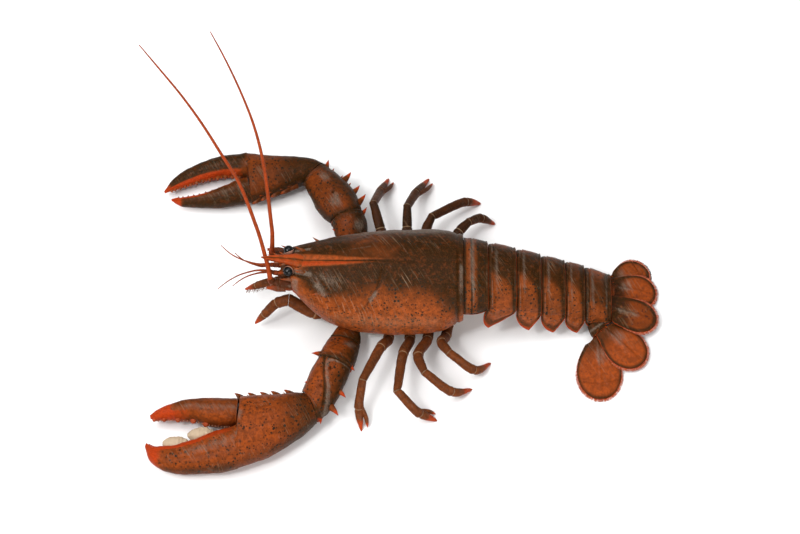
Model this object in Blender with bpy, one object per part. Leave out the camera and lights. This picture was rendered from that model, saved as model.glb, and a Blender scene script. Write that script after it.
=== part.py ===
"""American lobster, a still life-size model of the animal.

The head points along -X, the tail along +X, and the animal's left side faces -Y.
The floor is Z = 0. Lengths in this file are millimetres; a mesh is made in metres.
"""

import math

import bmesh
import bpy
import numpy as np

METRES = 0.001
TURN_SHARE = 0.9
CENTRE_X = 0.05
CENTRE_Y = 6.45
GAP = 0.3

# Finish of each group of parts: colour, roughness.
SHELL = (0.115, 0.042, 0.016), 0.35
CLAW = (0.2, 0.06, 0.018), 0.35
LEG = (0.19, 0.075, 0.025), 0.4
FEELER = (0.42, 0.1, 0.025), 0.45
EYE = (0.01, 0.01, 0.012), 0.08
PALE = (0.5, 0.3, 0.15), 0.5

# Carapace, from the front edge to the back edge.
# Columns: x, half width, top, widest height, lower edge height.
CARAPACE = (
    (-82.0, 15.5, 72.6, 61.0, 50.0),
    (-77.0, 19.0, 73.0, 57.0, 44.0),
    (-65.0, 26.0, 73.0, 47.5, 29.0),
    (-55.0, 31.0, 72.6, 41.0, 22.0),
    (-44.5, 34.4, 72.5, 38.0, 18.5),
    (-24.6, 38.6, 72.5, 35.5, 17.0),
    (-2.2, 40.6, 72.5, 36.5, 17.0),
    (17.8, 40.4, 72.0, 39.5, 18.0),
    (34.0, 38.0, 71.6, 43.5, 20.0),
    (43.0, 34.0, 71.2, 46.5, 24.0),
    (47.5, 32.2, 70.3, 47.0, 27.0),
)
CARAPACE_STEPS = 2
ARCH_POINTS = 7
FLANK_POINTS = 4
LIP_WIDTH = 2.0
LIP_RISE = 1.0
UPPER_POWER = 2.1
LOWER_POWER = 2.5
LOWER_REACH = 1.35

# Rostrum: x, y, z, half width, half depth.
ROSTRUM = (
    (-66.0, 0.0, 68.5, 7.5, 3.6),
    (-76.0, 0.0, 71.5, 6.4, 3.2),
    (-84.0, 0.0, 73.6, 4.4, 2.6),
    (-93.0, 0.0, 75.6, 3.0, 1.9),
    (-103.5, 0.0, 77.4, 0.5, 0.5),
)

# Spines of the carapace's right side, each mirrored: root, tip, root radius.
CARAPACE_SPINES = (
    ((-85.0, 3.0, 74.0), (-90.5, 5.8, 75.6), 1.4),
    ((-90.0, 2.2, 75.0), (-95.5, 4.4, 76.8), 1.2),
    ((-95.0, 1.4, 76.0), (-99.5, 2.8, 77.4), 0.9),
    ((-80.0, 13.0, 66.5), (-89.5, 14.4, 69.5), 2.2),
    ((-72.0, 9.5, 71.0), (-78.5, 10.5, 74.6), 1.9),
    ((-60.0, 22.0, 61.0), (-66.0, 24.5, 64.0), 1.8),
)

EYE_PLACE = (-83.4, 8.8, 71.8)
EYE_RADIUS = 3.9
ORBIT_RADIUS = 4.4
EYE_RINGS = 8
EYE_SIDES = 12

# Head below the carapace: x, half width, bottom. Its top follows the carapace.
HEAD = (
    (-56.3, 10.0, 13.5),
    (-66.0, 10.0, 19.0),
    (-76.0, 9.5, 30.5),
    (-82.3, 7.2, 38.0),
)
# Head in front of the carapace: x, half width, top, bottom.
FACE = (
    (-82.4, 7.2, 66.0, 38.5),
    (-87.0, 7.0, 65.0, 48.0),
    (-89.5, 6.4, 62.5, 53.0),
)

# Breast plate between the legs: x, half width, bottom. Its top follows the carapace.
STERNUM = (
    (-56.0, 15.0, 10.5),
    (-51.0, 19.5, 9.0),
    (-45.5, 23.6, 8.0),
    (-20.0, 23.6, 7.5),
    (15.0, 23.6, 7.5),
    (42.0, 23.6, 8.5),
    (46.5, 18.0, 14.0),
)

# Abdomen, one row for each joint plane from the carapace to the tail fan.
# Columns: x, half width, top, widest height.
ABDOMEN = (
    (47.9, 31.8, 70.3, 46.0),
    (66.5, 27.9, 65.2, 46.8),
    (88.0, 25.6, 59.6, 40.4),
    (107.0, 24.1, 51.4, 33.2),
    (125.5, 22.6, 43.0, 26.0),
    (140.5, 22.3, 34.8, 18.8),
    (161.0, 19.2, 21.9, 10.7),
)
# Side plates: tip along the segment, half width at the tip, tip height, lean forward.
PLEURA = (
    (0.3, 29.4, 41.0, 0.0),
    (0.42, 29.8, 20.0, 9.0),
    (0.58, 29.5, 15.6, 1.5),
    (0.58, 28.8, 10.2, 1.5),
    (0.7, 26.8, 5.6, 1.5),
    (0.4, 22.6, 4.5, 0.0),
)
# Swimmerets: path from the belly as x from the segment's middle, y, z from the belly,
# half width, half depth, and the segments that bear them.
SWIMMERET = (
    (0.0, 11.0, 3.0, 2.4, 2.0), (2.0, 12.0, -3.0, 2.4, 1.6),
    (6.0, 12.5, -7.5, 4.4, 1.1), (11.0, 13.0, -12.5, 4.6, 0.9),
    (15.0, 13.2, -16.0, 1.6, 0.7),
)
SWIMMERET_SEGMENTS = (2, 3, 4, 5)
RIB_PLACES = (0.0, 0.07, 0.25, 0.5, 0.74, 0.93, 1.0)
RIB_SCALES = (0.945, 0.985, 1.02, 1.015, 1.0, 0.98, 0.95)
FRONT_FULLNESS = 0.3
REAR_FULLNESS = 0.75
BELLY_SHARE = 0.5
PLATE_THICKNESS = 2.0

# Claws, one row across the claw at each place from the wrist to the tip.
# Columns: x and y of the outer edge, x and y of the inner edge, mid height, half depth.
CRUSHER = (
    (-62.0, -106.5, -70.8, -84.0, 15.5, 11.0),
    (-70.0, -114.5, -77.5, -83.5, 16.0, 14.0),
    (-83.0, -125.0, -87.0, -85.0, 16.5, 16.0),
    (-101.0, -136.0, -103.0, -86.4, 16.4, 16.9),
    (-119.5, -143.0, -119.5, -86.9, 15.9, 16.3),
    (-121.5, -143.6, -121.5, -110.0, 15.5, 14.5),
    (-137.0, -146.3, -137.0, -114.0, 14.0, 13.0),
    (-157.0, -146.8, -155.0, -121.0, 12.0, 10.8),
    (-174.0, -144.0, -172.0, -124.5, 10.5, 8.5),
    (-186.0, -136.0, -183.0, -124.5, 9.5, 5.5),
    (-190.5, -124.5, -189.5, -121.0, 9.5, 1.2),
)
CRUSHER_DACTYL = (
    (-120.7, -88.2, -122.1, -109.2, 16.0, 11.0),
    (-129.0, -88.2, -131.0, -110.2, 16.0, 12.0),
    (-142.0, -87.6, -142.5, -108.6, 15.5, 11.0),
    (-156.0, -88.4, -156.0, -104.3, 14.5, 10.0),
    (-171.0, -91.0, -170.5, -103.0, 13.0, 7.6),
    (-182.0, -95.5, -181.0, -103.0, 11.5, 5.5),
    (-187.5, -99.0, -187.0, -101.6, 11.0, 1.4),
)
CUTTER = (
    (-59.5, 115.6, -74.5, 98.5, 14.5, 8.5),
    (-70.0, 119.8, -81.0, 96.5, 14.0, 11.0),
    (-84.0, 121.8, -90.0, 92.2, 13.5, 12.5),
    (-101.0, 123.2, -104.0, 87.5, 12.9, 13.3),
    (-118.0, 125.2, -114.5, 82.8, 12.6, 12.9),
    (-120.5, 125.4, -119.0, 105.0, 12.5, 10.5),
    (-135.0, 124.2, -134.0, 106.5, 11.5, 9.0),
    (-152.0, 120.0, -151.0, 104.0, 10.5, 7.5),
    (-167.0, 113.2, -164.5, 100.0, 9.5, 6.0),
    (-178.0, 103.5, -175.5, 96.5, 8.5, 4.0),
    (-183.5, 95.0, -182.5, 93.2, 8.5, 0.9),
)
CUTTER_DACTYL = (
    (-119.2, 104.4, -114.9, 83.6, 12.5, 9.0),
    (-128.0, 100.6, -125.0, 82.0, 12.0, 9.5),
    (-142.0, 94.6, -140.0, 80.4, 11.0, 7.8),
    (-156.0, 90.4, -155.0, 80.4, 10.0, 6.0),
    (-168.0, 88.6, -167.5, 81.5, 9.0, 4.2),
    (-177.5, 88.2, -177.3, 86.6, 8.5, 0.8),
)

# Arms: joints from the breast plate to the carpus as x, y, z, half width, half depth.
ARM_LEFT = (
    (-38.5, -23.9, 11.6, 8.0, 3.8),
    (-41.5, -38.0, 14.0, 12.0, 5.6),
    (-49.2, -61.5, 21.0, 13.2, 11.5),
)
ARM_RIGHT = (
    (-36.5, 23.9, 11.6, 7.0, 3.8),
    (-35.5, 40.0, 14.0, 9.8, 5.6),
    (-41.3, 65.5, 21.5, 13.0, 11.5),
)
# Swollen places along the merus and the carpus: share of the way, half width,
# half depth, and how far the middle lies toward the arm's outer side.
MERUS_SWELLS = {
    "left": ((0.35, 13.4, 8.8, 0.0), (0.72, 14.0, 11.2, 0.0)),
    "right": ((0.35, 12.0, 8.6, 0.8), (0.7, 13.2, 11.2, 1.4)),
}
CARPUS_SWELLS = {
    "left": ((0.36, 14.0, 13.4, 0.2), (0.66, 13.4, 12.6, 0.8)),
    "right": ((0.34, 16.2, 13.4, 0.8), (0.66, 14.4, 12.0, 1.0)),
}
# Tips of the arm segments' spines.
ARM_SPINES = {
    "cheliped_left_merus": ((-34.6, -67.2, 23.0), (-66.0, -53.4, 24.0)),
    "cheliped_left_carpus": (
        (-41.2, -88.6, 21.0), (-46.6, -102.0, 18.0), (-59.5, -107.4, 15.0),
        (-71.1, -77.2, 23.0), (-54.0, -73.0, 38.0), (-61.0, -86.0, 35.5),
    ),
    "cheliped_right_merus": ((-26.0, 72.5, 23.0), (-51.6, 54.2, 22.0)),
    "cheliped_right_carpus": (
        (-27.0, 84.0, 23.0), (-31.6, 92.9, 21.0), (-38.4, 105.5, 20.0),
        (-56.0, 118.0, 17.0), (-62.3, 71.5, 22.0), (-69.8, 88.0, 20.0),
        (-54.0, 84.0, 38.0),
    ),
}
ARM_SPINE_LENGTH = 8.6
ARM_SPINE_RADIUS = 2.9
ARM_SPINE_LEAN = 5.0

# Spines on the inner edge of each palm, as places along the claw's rows.
CRUSHER_SPINES = (1.37, 2.26, 2.78, 3.35, 3.95)
CUTTER_SPINES = (1.2, 1.8, 2.4, 3.0, 3.6)
CRUSHER_SPINE_SIZE = 7.0, 3.2
CUTTER_SPINE_SIZE = 5.4, 3.0

# Rounded crushing teeth: first x, last x, y, z, half width, half depth.
MOLARS = (
    (-177.5, -156.5, -122.6, 12.2, 6.0, 5.4),
    (-158.8, -136.5, -116.4, 13.8, 6.4, 6.0),
)
KNOBS = (
    (-184.0, -103.2, 11.3, 1.5), (-176.5, -103.2, 12.2, 1.9),
    (-166.0, -103.8, 13.2, 2.2), (-154.5, -105.2, 14.2, 2.4),
    (-145.0, -108.0, 14.8, 2.6),
)
# Saw teeth of the cutter: first and last place along the rows, tooth length, radius.
CUTTER_TEETH = 5.4, 9.3, 2.5, 2.4
DACTYL_TEETH = 0.5, 4.4, 2.5, 2.4
TOOTH_COUNT = 12

# Walking legs: joints from the breast plate to the tip.
LEGS = {
    "leg_2_left": (
        (-8.0, -23.9, 11.5), (-8.6, -36.0, 14.0), (-14.3, -47.0, 22.0),
        (-28.1, -77.2, 27.0), (-30.8, -93.2, 12.0), (-28.9, -107.0, -0.4),
    ),
    "leg_3_left": (
        (7.6, -23.9, 11.5), (7.6, -36.0, 14.0), (2.3, -53.0, 22.0),
        (-2.2, -86.0, 27.0), (15.0, -96.8, 10.0), (28.3, -98.2, -0.4),
    ),
    "leg_4_left": (
        (22.0, -23.9, 11.5), (21.0, -36.0, 14.0), (13.6, -54.0, 22.0),
        (18.4, -70.5, 27.0), (38.7, -79.5, 12.0), (54.8, -71.7, -0.4),
    ),
    "leg_5_left": (
        (36.5, -23.9, 11.5), (35.0, -33.0, 13.0), (31.5, -42.0, 20.0),
        (36.9, -53.2, 25.0), (55.5, -60.7, 11.0), (69.2, -49.5, -0.4),
    ),
    "leg_2_right": (
        (-10.0, 23.9, 11.5), (-11.5, 38.0, 14.0), (-15.0, 54.0, 22.0),
        (-20.5, 74.0, 27.0), (-15.5, 92.5, 12.0), (-8.7, 111.5, -0.4),
    ),
    "leg_3_right": (
        (6.5, 23.9, 11.5), (6.5, 38.0, 14.0), (5.5, 55.0, 22.0),
        (5.5, 72.0, 25.5), (12.1, 90.0, 14.0), (22.7, 111.3, -0.4),
    ),
    "leg_4_right": (
        (21.5, 23.9, 11.5), (20.5, 38.0, 14.0), (20.0, 52.0, 21.0),
        (24.5, 64.0, 24.5), (50.7, 83.6, 12.0), (63.1, 88.9, -0.4),
    ),
    "leg_5_right": (
        (36.5, 23.9, 11.5), (38.5, 38.0, 13.5), (45.5, 53.5, 19.0),
        (52.8, 61.5, 20.0), (62.5, 68.6, 13.0), (74.1, 70.6, -0.4),
    ),
}
LEG_WIDTHS = (4.2, 4.0, 3.9, 3.1, 3.5, 0.9)
LEG_DEPTHS = (4.0, 4.2, 4.4, 3.6, 3.6, 0.9)
PINCER_LEGS = ("leg_2_left", "leg_3_left", "leg_2_right", "leg_3_right")
PINCER_SPREAD = 5.5

# Third maxillipeds: joints from under the head to the tip, x, y, z, half width, half depth.
MAXILLIPED_LEFT = (
    (-56.3, -13.0, 14.4, 3.4, 3.4), (-65.0, -18.0, 21.0, 4.4, 3.8),
    (-84.2, -10.8, 29.5, 4.8, 4.4), (-93.0, -12.2, 27.0, 4.0, 4.0),
    (-102.9, -17.4, 18.0, 3.2, 3.2), (-110.0, -20.6, 9.5, 0.8, 0.8),
)
MAXILLIPED_RIGHT = (
    (-56.3, 13.0, 14.4, 3.4, 3.4), (-65.0, 17.0, 21.0, 4.4, 3.8),
    (-82.0, 10.0, 29.0, 4.2, 4.0), (-94.9, 6.0, 28.0, 3.4, 3.4),
    (-109.0, 6.4, 20.0, 2.8, 2.8), (-117.9, 7.5, 12.0, 0.8, 0.8),
)

# Feelers: x, y, z, half width, half depth.
ANTENNULE_LEFT = (
    (-89.8, -3.6, 58.5, 2.2, 2.2), (-97.9, -3.6, 61.5, 1.6, 1.6),
    (-106.0, -3.8, 64.0, 0.8, 0.8), (-116.9, -5.9, 63.0, 0.6, 0.6),
    (-126.9, -9.5, 60.0, 0.5, 0.5), (-136.5, -15.3, 56.0, 0.3, 0.3),
)
ANTENNULE_RIGHT = (
    (-89.8, 3.6, 58.5, 2.2, 2.2), (-97.9, 2.2, 61.5, 1.6, 1.6),
    (-106.0, 1.4, 64.0, 0.8, 0.8), (-115.1, 2.8, 66.0, 0.6, 0.6),
    (-126.1, 7.4, 68.0, 0.5, 0.5), (-134.3, 14.1, 70.0, 0.3, 0.3),
)
ANTENNULE_INNER_SHARE = 0.72
ANTENNULE_INNER_DROP = 3.2
ANTENNA_FOOT_LEFT = (
    (-82.3, -12.4, 57.0, 4.6, 4.8), (-90.0, -11.6, 57.0, 4.4, 4.4),
    (-95.2, -10.9, 58.0, 3.2, 3.2), (-97.2, -9.4, 61.5, 2.4, 2.4),
)
ANTENNA_FOOT_RIGHT = (
    (-82.3, 12.4, 57.0, 4.6, 4.8), (-90.0, 11.8, 57.0, 4.4, 4.4),
    (-95.2, 11.2, 58.5, 3.2, 3.2), (-96.4, 12.6, 62.5, 2.4, 2.4),
)
ANTENNA_SCALE = (
    (-86.0, 15.4, 57.0, 3.0, 1.3), (-91.5, 16.0, 58.2, 3.0, 1.1),
    (-96.0, 16.2, 59.0, 1.8, 0.9), (-100.0, 15.8, 59.6, 0.5, 0.5),
)
ANTENNA_LEFT = (
    (-97.2, -9.4, 61.5, 2.0, 2.0), (-98.6, -4.0, 68.5, 1.75, 1.75),
    (-101.0, 3.0, 76.0, 1.6, 1.6), (-104.4, 13.1, 84.0, 1.5, 1.5),
    (-108.9, 23.7, 92.0, 1.45, 1.45), (-120.3, 48.3, 106.0, 1.3, 1.3),
    (-132.7, 66.2, 115.0, 1.2, 1.2), (-148.0, 88.5, 124.0, 1.05, 1.05),
    (-163.4, 108.6, 131.0, 0.9, 0.9), (-180.9, 129.6, 136.0, 0.7, 0.7),
    (-195.7, 147.2, 140.0, 0.4, 0.4),
)
ANTENNA_RIGHT = (
    (-96.4, 12.6, 62.5, 2.0, 2.0), (-95.8, 15.5, 70.0, 1.75, 1.75),
    (-95.6, 19.8, 78.0, 1.6, 1.6), (-96.7, 27.8, 88.0, 1.5, 1.5),
    (-98.3, 39.5, 98.5, 1.4, 1.4), (-100.3, 52.7, 108.0, 1.3, 1.3),
    (-104.1, 70.5, 117.0, 1.2, 1.2), (-109.9, 89.0, 125.0, 1.05, 1.05),
    (-116.7, 105.9, 130.0, 0.9, 0.9), (-124.6, 123.5, 134.0, 0.8, 0.8),
    (-133.5, 141.8, 137.0, 0.65, 0.65), (-142.7, 159.5, 139.0, 0.4, 0.4),
)

# Tail fan. Each base is a path of x, y, z, half width, half depth, and its two blades
# leave its end side by side. Blade: tip x, y and z, half width at its widest, and the
# width of its root as a share of that.
UROPOD_BASE_LEFT = (
    (147.0, -20.5, 10.0, 5.0, 4.6), (150.0, -24.6, 8.2, 6.6, 4.6),
    (152.3, -27.4, 7.0, 7.4, 4.2),
)
UROPOD_BASE_RIGHT = (
    (154.0, 12.0, 8.6, 4.5, 4.0), (159.0, 14.0, 8.0, 6.2, 4.2),
    (162.6, 14.4, 7.2, 7.2, 4.0),
)
UROPOD_INNER_LEFT = (184.2, -52.0, 3.5, 15.4, 0.52)
UROPOD_OUTER_LEFT = (152.0, -80.8, 0.4, 17.0, 0.3)
UROPOD_INNER_RIGHT = (196.0, 6.5, 3.5, 14.0, 0.55)
UROPOD_OUTER_RIGHT = (191.0, 29.0, 0.4, 13.0, 0.3)
INNER_ROOT_RISE = 1.6
OUTER_ROOT_RISE = -1.4
ROOT_SHIFT = 3.7
TELSON_ROOT = (161.15, -9.5, 13.4)
TELSON = (195.5, -18.0, 6.8, 13.6, 0.8)
BLADE_HALF_THICKNESS = 0.62
ROOT_HALF_THICKNESS = 1.25
BLADE_WIDEST = 0.56
BLADE_PLACES = (0.0, 0.1, 0.22, 0.38, 0.56, 0.73, 0.86, 0.95, 0.995)


# Shapes made of rings of points
def unit(vector):
    vector = np.asarray(vector, float)
    return vector / np.linalg.norm(vector)


def refine(rows, steps):
    """The rows, made finer by a smooth curve that never overshoots them."""
    rows = np.asarray(rows, float)
    rises = np.diff(rows, axis=0)
    same_way = rises[:-1] * rises[1:] > 0
    total = np.where(same_way, rises[:-1] + rises[1:], 1.0)
    inner = np.where(same_way, 2 * rises[:-1] * rises[1:] / total, 0.0)
    slopes = np.vstack([rises[:1], inner, rises[-1:]])
    share = np.linspace(0, 1, steps, endpoint=False)[:, None]
    start = 2 * share**3 - 3 * share**2 + 1
    leave = share**3 - 2 * share**2 + share
    arrive = share**3 - share**2
    finer = [
        start * rows[k] + (1 - start) * rows[k + 1]
        + leave * slopes[k] + arrive * slopes[k + 1]
        for k in range(len(rises))
    ]
    return np.vstack([*finer, rows[-1:]])


def oval(sides, power):
    """Points of a unit circle, squared off as the power grows past two."""
    angles = np.arange(sides) * 2 * math.pi / sides
    around = np.stack([np.cos(angles), np.sin(angles)], axis=1)
    return np.sign(around) * np.abs(around) ** (2 / power)


def stack(rings):
    """Points and faces of a closed body through the rings, with flat ends."""
    rings = np.asarray(rings, float)
    count, sides = rings.shape[:2]
    faces = [tuple(range(sides))]
    for ring in range(count - 1):
        for side in range(sides):
            low = ring * sides + side
            high = ring * sides + (side + 1) % sides
            faces.append((low, high, high + sides, low + sides))
    faces.append(tuple(range((count - 1) * sides, count * sides)))
    return rings.reshape(-1, 3), faces


def tube(rows, steps=2, sides=10, power=2.0, start=None, end=None, gaps=(0, 0)):
    """Closed body along a path of x, y, z, half width, half depth.

    The start and the end give the directions that its flat ends face along the path,
    and each gap moves that end back along its direction.
    """
    rows = refine(rows, steps)
    path = rows[:, :3]
    ahead = np.gradient(path, axis=0)
    ahead /= np.linalg.norm(ahead, axis=1)[:, None]
    for way, first, second in ((start, 0, 1), (end, -1, -2)):
        if way is not None:
            ahead[first] = unit(way)
            ahead[second] = unit(ahead[second] + ahead[first] * TURN_SHARE)
    path[0] += unit(ahead[0]) * gaps[0]
    path[-1] -= unit(ahead[-1]) * gaps[1]
    around = oval(sides, power)
    rings = []
    for place, way, row in zip(path, ahead, rows):
        across = unit(np.cross(way, (0, 0, 1)))
        rise = unit(np.cross(across, way))
        rings.append(
            place + around[:, :1] * across * row[3] + around[:, 1:] * rise * row[4]
        )
    return stack(rings)


def slab(rows, steps=2, sides=12, power=2.2):
    """Closed body through level rungs, as the claws have."""
    around = oval(sides, power)
    rings = []
    for out_x, out_y, in_x, in_y, height, half in refine(rows, steps):
        middle = np.array([(out_x + in_x) / 2, (out_y + in_y) / 2, height])
        across = np.array([(out_x - in_x) / 2, (out_y - in_y) / 2, 0])
        rings.append(
            middle + around[:, :1] * across + around[:, 1:] * np.array([0, 0, half])
        )
    return stack(rings)


def spine(root, tip, radius, sides=5):
    """Cone whose foot is sunk in the surface that it grows from."""
    root = np.asarray(root, float)
    tip = np.asarray(tip, float)
    way = unit(tip - root)
    across = unit(np.cross(way, (0.3, 0.2, 1)))
    rise = np.cross(across, way)
    around = oval(sides, 2)
    ring = around[:, :1] * across + around[:, 1:] * rise
    foot = root - way * radius
    points = np.vstack([foot + ring * radius, [tip]])
    faces = [tuple(range(sides))]
    faces += [(side, (side + 1) % sides, sides) for side in range(sides)]
    return points, faces


def ball(centre, radius, rings=EYE_RINGS, sides=EYE_SIDES):
    """Sphere whose poles lie along the height."""
    centre = np.asarray(centre, float)
    points = [centre + (0, 0, radius)]
    for ring in range(1, rings):
        lean = math.pi * ring / rings
        for side in range(sides):
            turn = 2 * math.pi * side / sides
            points.append(
                centre
                + radius
                * np.array(
                    [
                        math.sin(lean) * math.cos(turn),
                        math.sin(lean) * math.sin(turn),
                        math.cos(lean),
                    ]
                )
            )
    points.append(centre - (0, 0, radius))
    last = len(points) - 1
    faces = []
    for side in range(sides):
        after = (side + 1) % sides
        faces.append((0, 1 + side, 1 + after))
        foot = last - sides
        faces.append((last, foot + after, foot + side))
        for ring in range(rings - 2):
            low = 1 + ring * sides
            faces.append(
                (low + side, low + sides + side, low + sides + after, low + after)
            )
    return np.array(points), faces


# Objects
def clear_scene():
    for obj in list(bpy.data.objects):
        bpy.data.objects.remove(obj, do_unlink=True)
    for mesh in list(bpy.data.meshes):
        bpy.data.meshes.remove(mesh)


def new_collection(name):
    collection = bpy.data.collections.new(name)
    bpy.context.scene.collection.children.link(collection)
    return collection


def make_material(name, finish):
    colour, roughness = finish
    material = bpy.data.materials.new(name)
    material.use_nodes = True
    shader = material.node_tree.nodes["Principled BSDF"]
    shader.inputs["Base Color"].default_value = (*colour, 1)
    shader.inputs["Roughness"].default_value = roughness
    shader.inputs["Metallic"].default_value = 0.0
    return material


def make_object(name, shape, collection):
    """Object from points in millimetres, its faces turned to look outward."""
    points, faces = shape
    mesh = bpy.data.meshes.new(name)
    moved = (np.asarray(points) - (CENTRE_X, CENTRE_Y, 0)) * METRES
    mesh.from_pydata(moved.tolist(), [], faces)
    shape_mesh = bmesh.new()
    shape_mesh.from_mesh(mesh)
    bmesh.ops.recalc_face_normals(shape_mesh, faces=shape_mesh.faces)
    bmesh.ops.triangulate(shape_mesh, faces=shape_mesh.faces)
    shape_mesh.to_mesh(mesh)
    shape_mesh.free()
    obj = bpy.data.objects.new(name, mesh)
    collection.objects.link(obj)
    return obj


def keep_largest(shape_mesh):
    """Leaves only the closed surface that has the most faces."""
    left = set(shape_mesh.faces)
    groups = []
    while left:
        seed = left.pop()
        group = {seed}
        edge_of_group = [seed]
        while edge_of_group:
            face = edge_of_group.pop()
            for edge in face.edges:
                for near in edge.link_faces:
                    if near in left:
                        left.discard(near)
                        group.add(near)
                        edge_of_group.append(near)
        groups.append(group)
    groups.sort(key=len)
    stray = [face for group in groups[:-1] for face in group]
    bmesh.ops.delete(shape_mesh, geom=stray, context="FACES")


def combine(obj, shapes, operation="UNION", solver="EXACT"):
    """Unites the closed shapes with the object, or cuts them from it."""
    helpers = bpy.data.collections.new("helpers")
    bpy.context.scene.collection.children.link(helpers)
    for number, shape in enumerate(shapes):
        make_object(f"helper_{number}", shape, helpers)
    modifier = obj.modifiers.new("combine", "BOOLEAN")
    modifier.operand_type = "COLLECTION"
    modifier.collection = helpers
    modifier.operation = operation
    modifier.solver = solver
    graph = bpy.context.evaluated_depsgraph_get()
    result = bpy.data.meshes.new_from_object(obj.evaluated_get(graph))
    obj.modifiers.clear()
    old = obj.data
    obj.data = result
    bpy.data.meshes.remove(old)
    for helper in list(helpers.objects):
        bpy.data.objects.remove(helper, do_unlink=True)
    bpy.data.collections.remove(helpers)
    shape_mesh = bmesh.new()
    shape_mesh.from_mesh(result)
    bmesh.ops.triangulate(shape_mesh, faces=shape_mesh.faces)
    bmesh.ops.remove_doubles(shape_mesh, verts=shape_mesh.verts, dist=0.00002)
    bmesh.ops.dissolve_degenerate(shape_mesh, edges=shape_mesh.edges, dist=0.00001)
    keep_largest(shape_mesh)
    bmesh.ops.recalc_face_normals(shape_mesh, faces=shape_mesh.faces)
    shape_mesh.to_mesh(result)
    shape_mesh.free()


def level_foot(obj):
    """Cuts off what reaches below the floor and closes the cut with a flat."""
    shape_mesh = bmesh.new()
    shape_mesh.from_mesh(obj.data)
    if min(vertex.co.z for vertex in shape_mesh.verts) < 0:
        everything = [*shape_mesh.verts, *shape_mesh.edges, *shape_mesh.faces]
        cut = bmesh.ops.bisect_plane(
            shape_mesh,
            geom=everything,
            plane_co=(0, 0, 0),
            plane_no=(0, 0, -1),
            clear_outer=True,
        )
        edges = [
            item for item in cut["geom_cut"] if isinstance(item, bmesh.types.BMEdge)
        ]
        bmesh.ops.holes_fill(shape_mesh, edges=edges)
        bmesh.ops.triangulate(shape_mesh, faces=shape_mesh.faces)
        bmesh.ops.recalc_face_normals(shape_mesh, faces=shape_mesh.faces)
        shape_mesh.to_mesh(obj.data)
    shape_mesh.free()


def finish(obj, material):
    obj.data.materials.clear()
    obj.data.materials.append(material)
    for face in obj.data.polygons:
        face.use_smooth = True
    obj.data.set_sharp_from_angle(angle=math.radians(40))


# Body
def mirror(point):
    return (point[0], -point[1], point[2])


def carapace_ring(row):
    """Section of the carapace, from the middle of the back round by the right side."""
    x, half, top, middle, edge = row
    right = []
    for angle in np.linspace(0, math.pi / 2, ARCH_POINTS):
        right.append(
            (
                half * math.sin(angle) ** (2 / UPPER_POWER),
                middle + (top - middle) * math.cos(angle) ** (2 / UPPER_POWER),
            )
        )
    reach = (middle - edge) * LOWER_REACH
    for drop in np.linspace(0, middle - edge, FLANK_POINTS)[1:]:
        share = (1 - (drop / reach) ** LOWER_POWER) ** (1 / LOWER_POWER)
        right.append((half * share, middle - drop))
    right.append((right[-1][0] - LIP_WIDTH, edge + LIP_RISE))
    right[0] = (0, top)
    under = [(0, edge + LIP_RISE)]
    left = [(-y, z) for y, z in reversed(right[1:])]
    return [(x, y, z) for y, z in right + under + left]


def sternum_ring(x, half, top, bottom):
    side = bottom + 1.5
    right = [(half * 0.5, top), (half, top), (half, side), (half - 6, bottom)]
    left = [(-y, z) for y, z in reversed(right)]
    keel = [(0, bottom - 0.8)]
    return [(x, y, z) for y, z in [(0, top)] + right + keel + left]


def head_ring(x, half, top, bottom):
    right = [
        (half * 0.6, top), (half, top - (top - bottom) * 0.25),
        (half, bottom + (top - bottom) * 0.25), (half * 0.6, bottom),
    ]
    left = [(-y, z) for y, z in reversed(right)]
    return [(x, y, z) for y, z in right + left]


def under_carapace(rows, ring):
    """Rings of a body whose top follows the carapace's underside just below it."""
    carapace = refine(CARAPACE, CARAPACE_STEPS)
    rows = np.array(rows)
    rows = rows[np.argsort(rows[:, 0])]
    low, high = rows[0, 0], rows[-1, 0]
    inside = [x for x in carapace[:, 0] if low < x < high]
    rings = []
    for x in sorted({*inside, *rows[:, 0]}):
        half, bottom = (np.interp(x, rows[:, 0], rows[:, k]) for k in (1, 2))
        edge = np.interp(x, carapace[:, 0], carapace[:, 4])
        rings.append(ring(x, half, edge + LIP_RISE - GAP, bottom))
    return rings


def build_carapace(collection, material):
    rows = refine(CARAPACE, CARAPACE_STEPS)
    carapace = make_object(
        "carapace", stack([carapace_ring(row) for row in rows]), collection
    )
    extras = [tube(ROSTRUM, steps=2, sides=8)]
    for root, tip, radius in CARAPACE_SPINES:
        extras.append(spine(root, tip, radius))
        extras.append(spine(mirror(root), mirror(tip), radius))
    combine(carapace, extras)
    orbits = [
        ball(EYE_PLACE, ORBIT_RADIUS, rings=6, sides=8),
        ball(mirror(EYE_PLACE), ORBIT_RADIUS, rings=6, sides=8),
    ]
    combine(carapace, orbits, operation="DIFFERENCE")
    finish(carapace, material)


def build_sternum(collection, material):
    rings = under_carapace(STERNUM, sternum_ring)
    finish(make_object("sternum", stack(rings), collection), material)


def build_head(collection, shell, eye):
    rings = [head_ring(*row) for row in reversed(FACE)]
    rings += under_carapace(HEAD, head_ring)
    head = make_object("head", stack(rings), collection)
    finish(head, shell)
    for side, name in ((-1, "eye_left"), (1, "eye_right")):
        centre = np.array(EYE_PLACE) * (1, side, 1)
        ball_object = make_object(name, ball(centre, EYE_RADIUS), collection)
        stalk = (
            (-84.9, side * 7.6, 66.4, 2.0, 2.0),
            (-84.4, side * 8.2, 70.5, 2.4, 2.4),
        )
        combine(ball_object, [tube(stalk, steps=1, sides=8)])
        finish(ball_object, eye)


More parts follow.
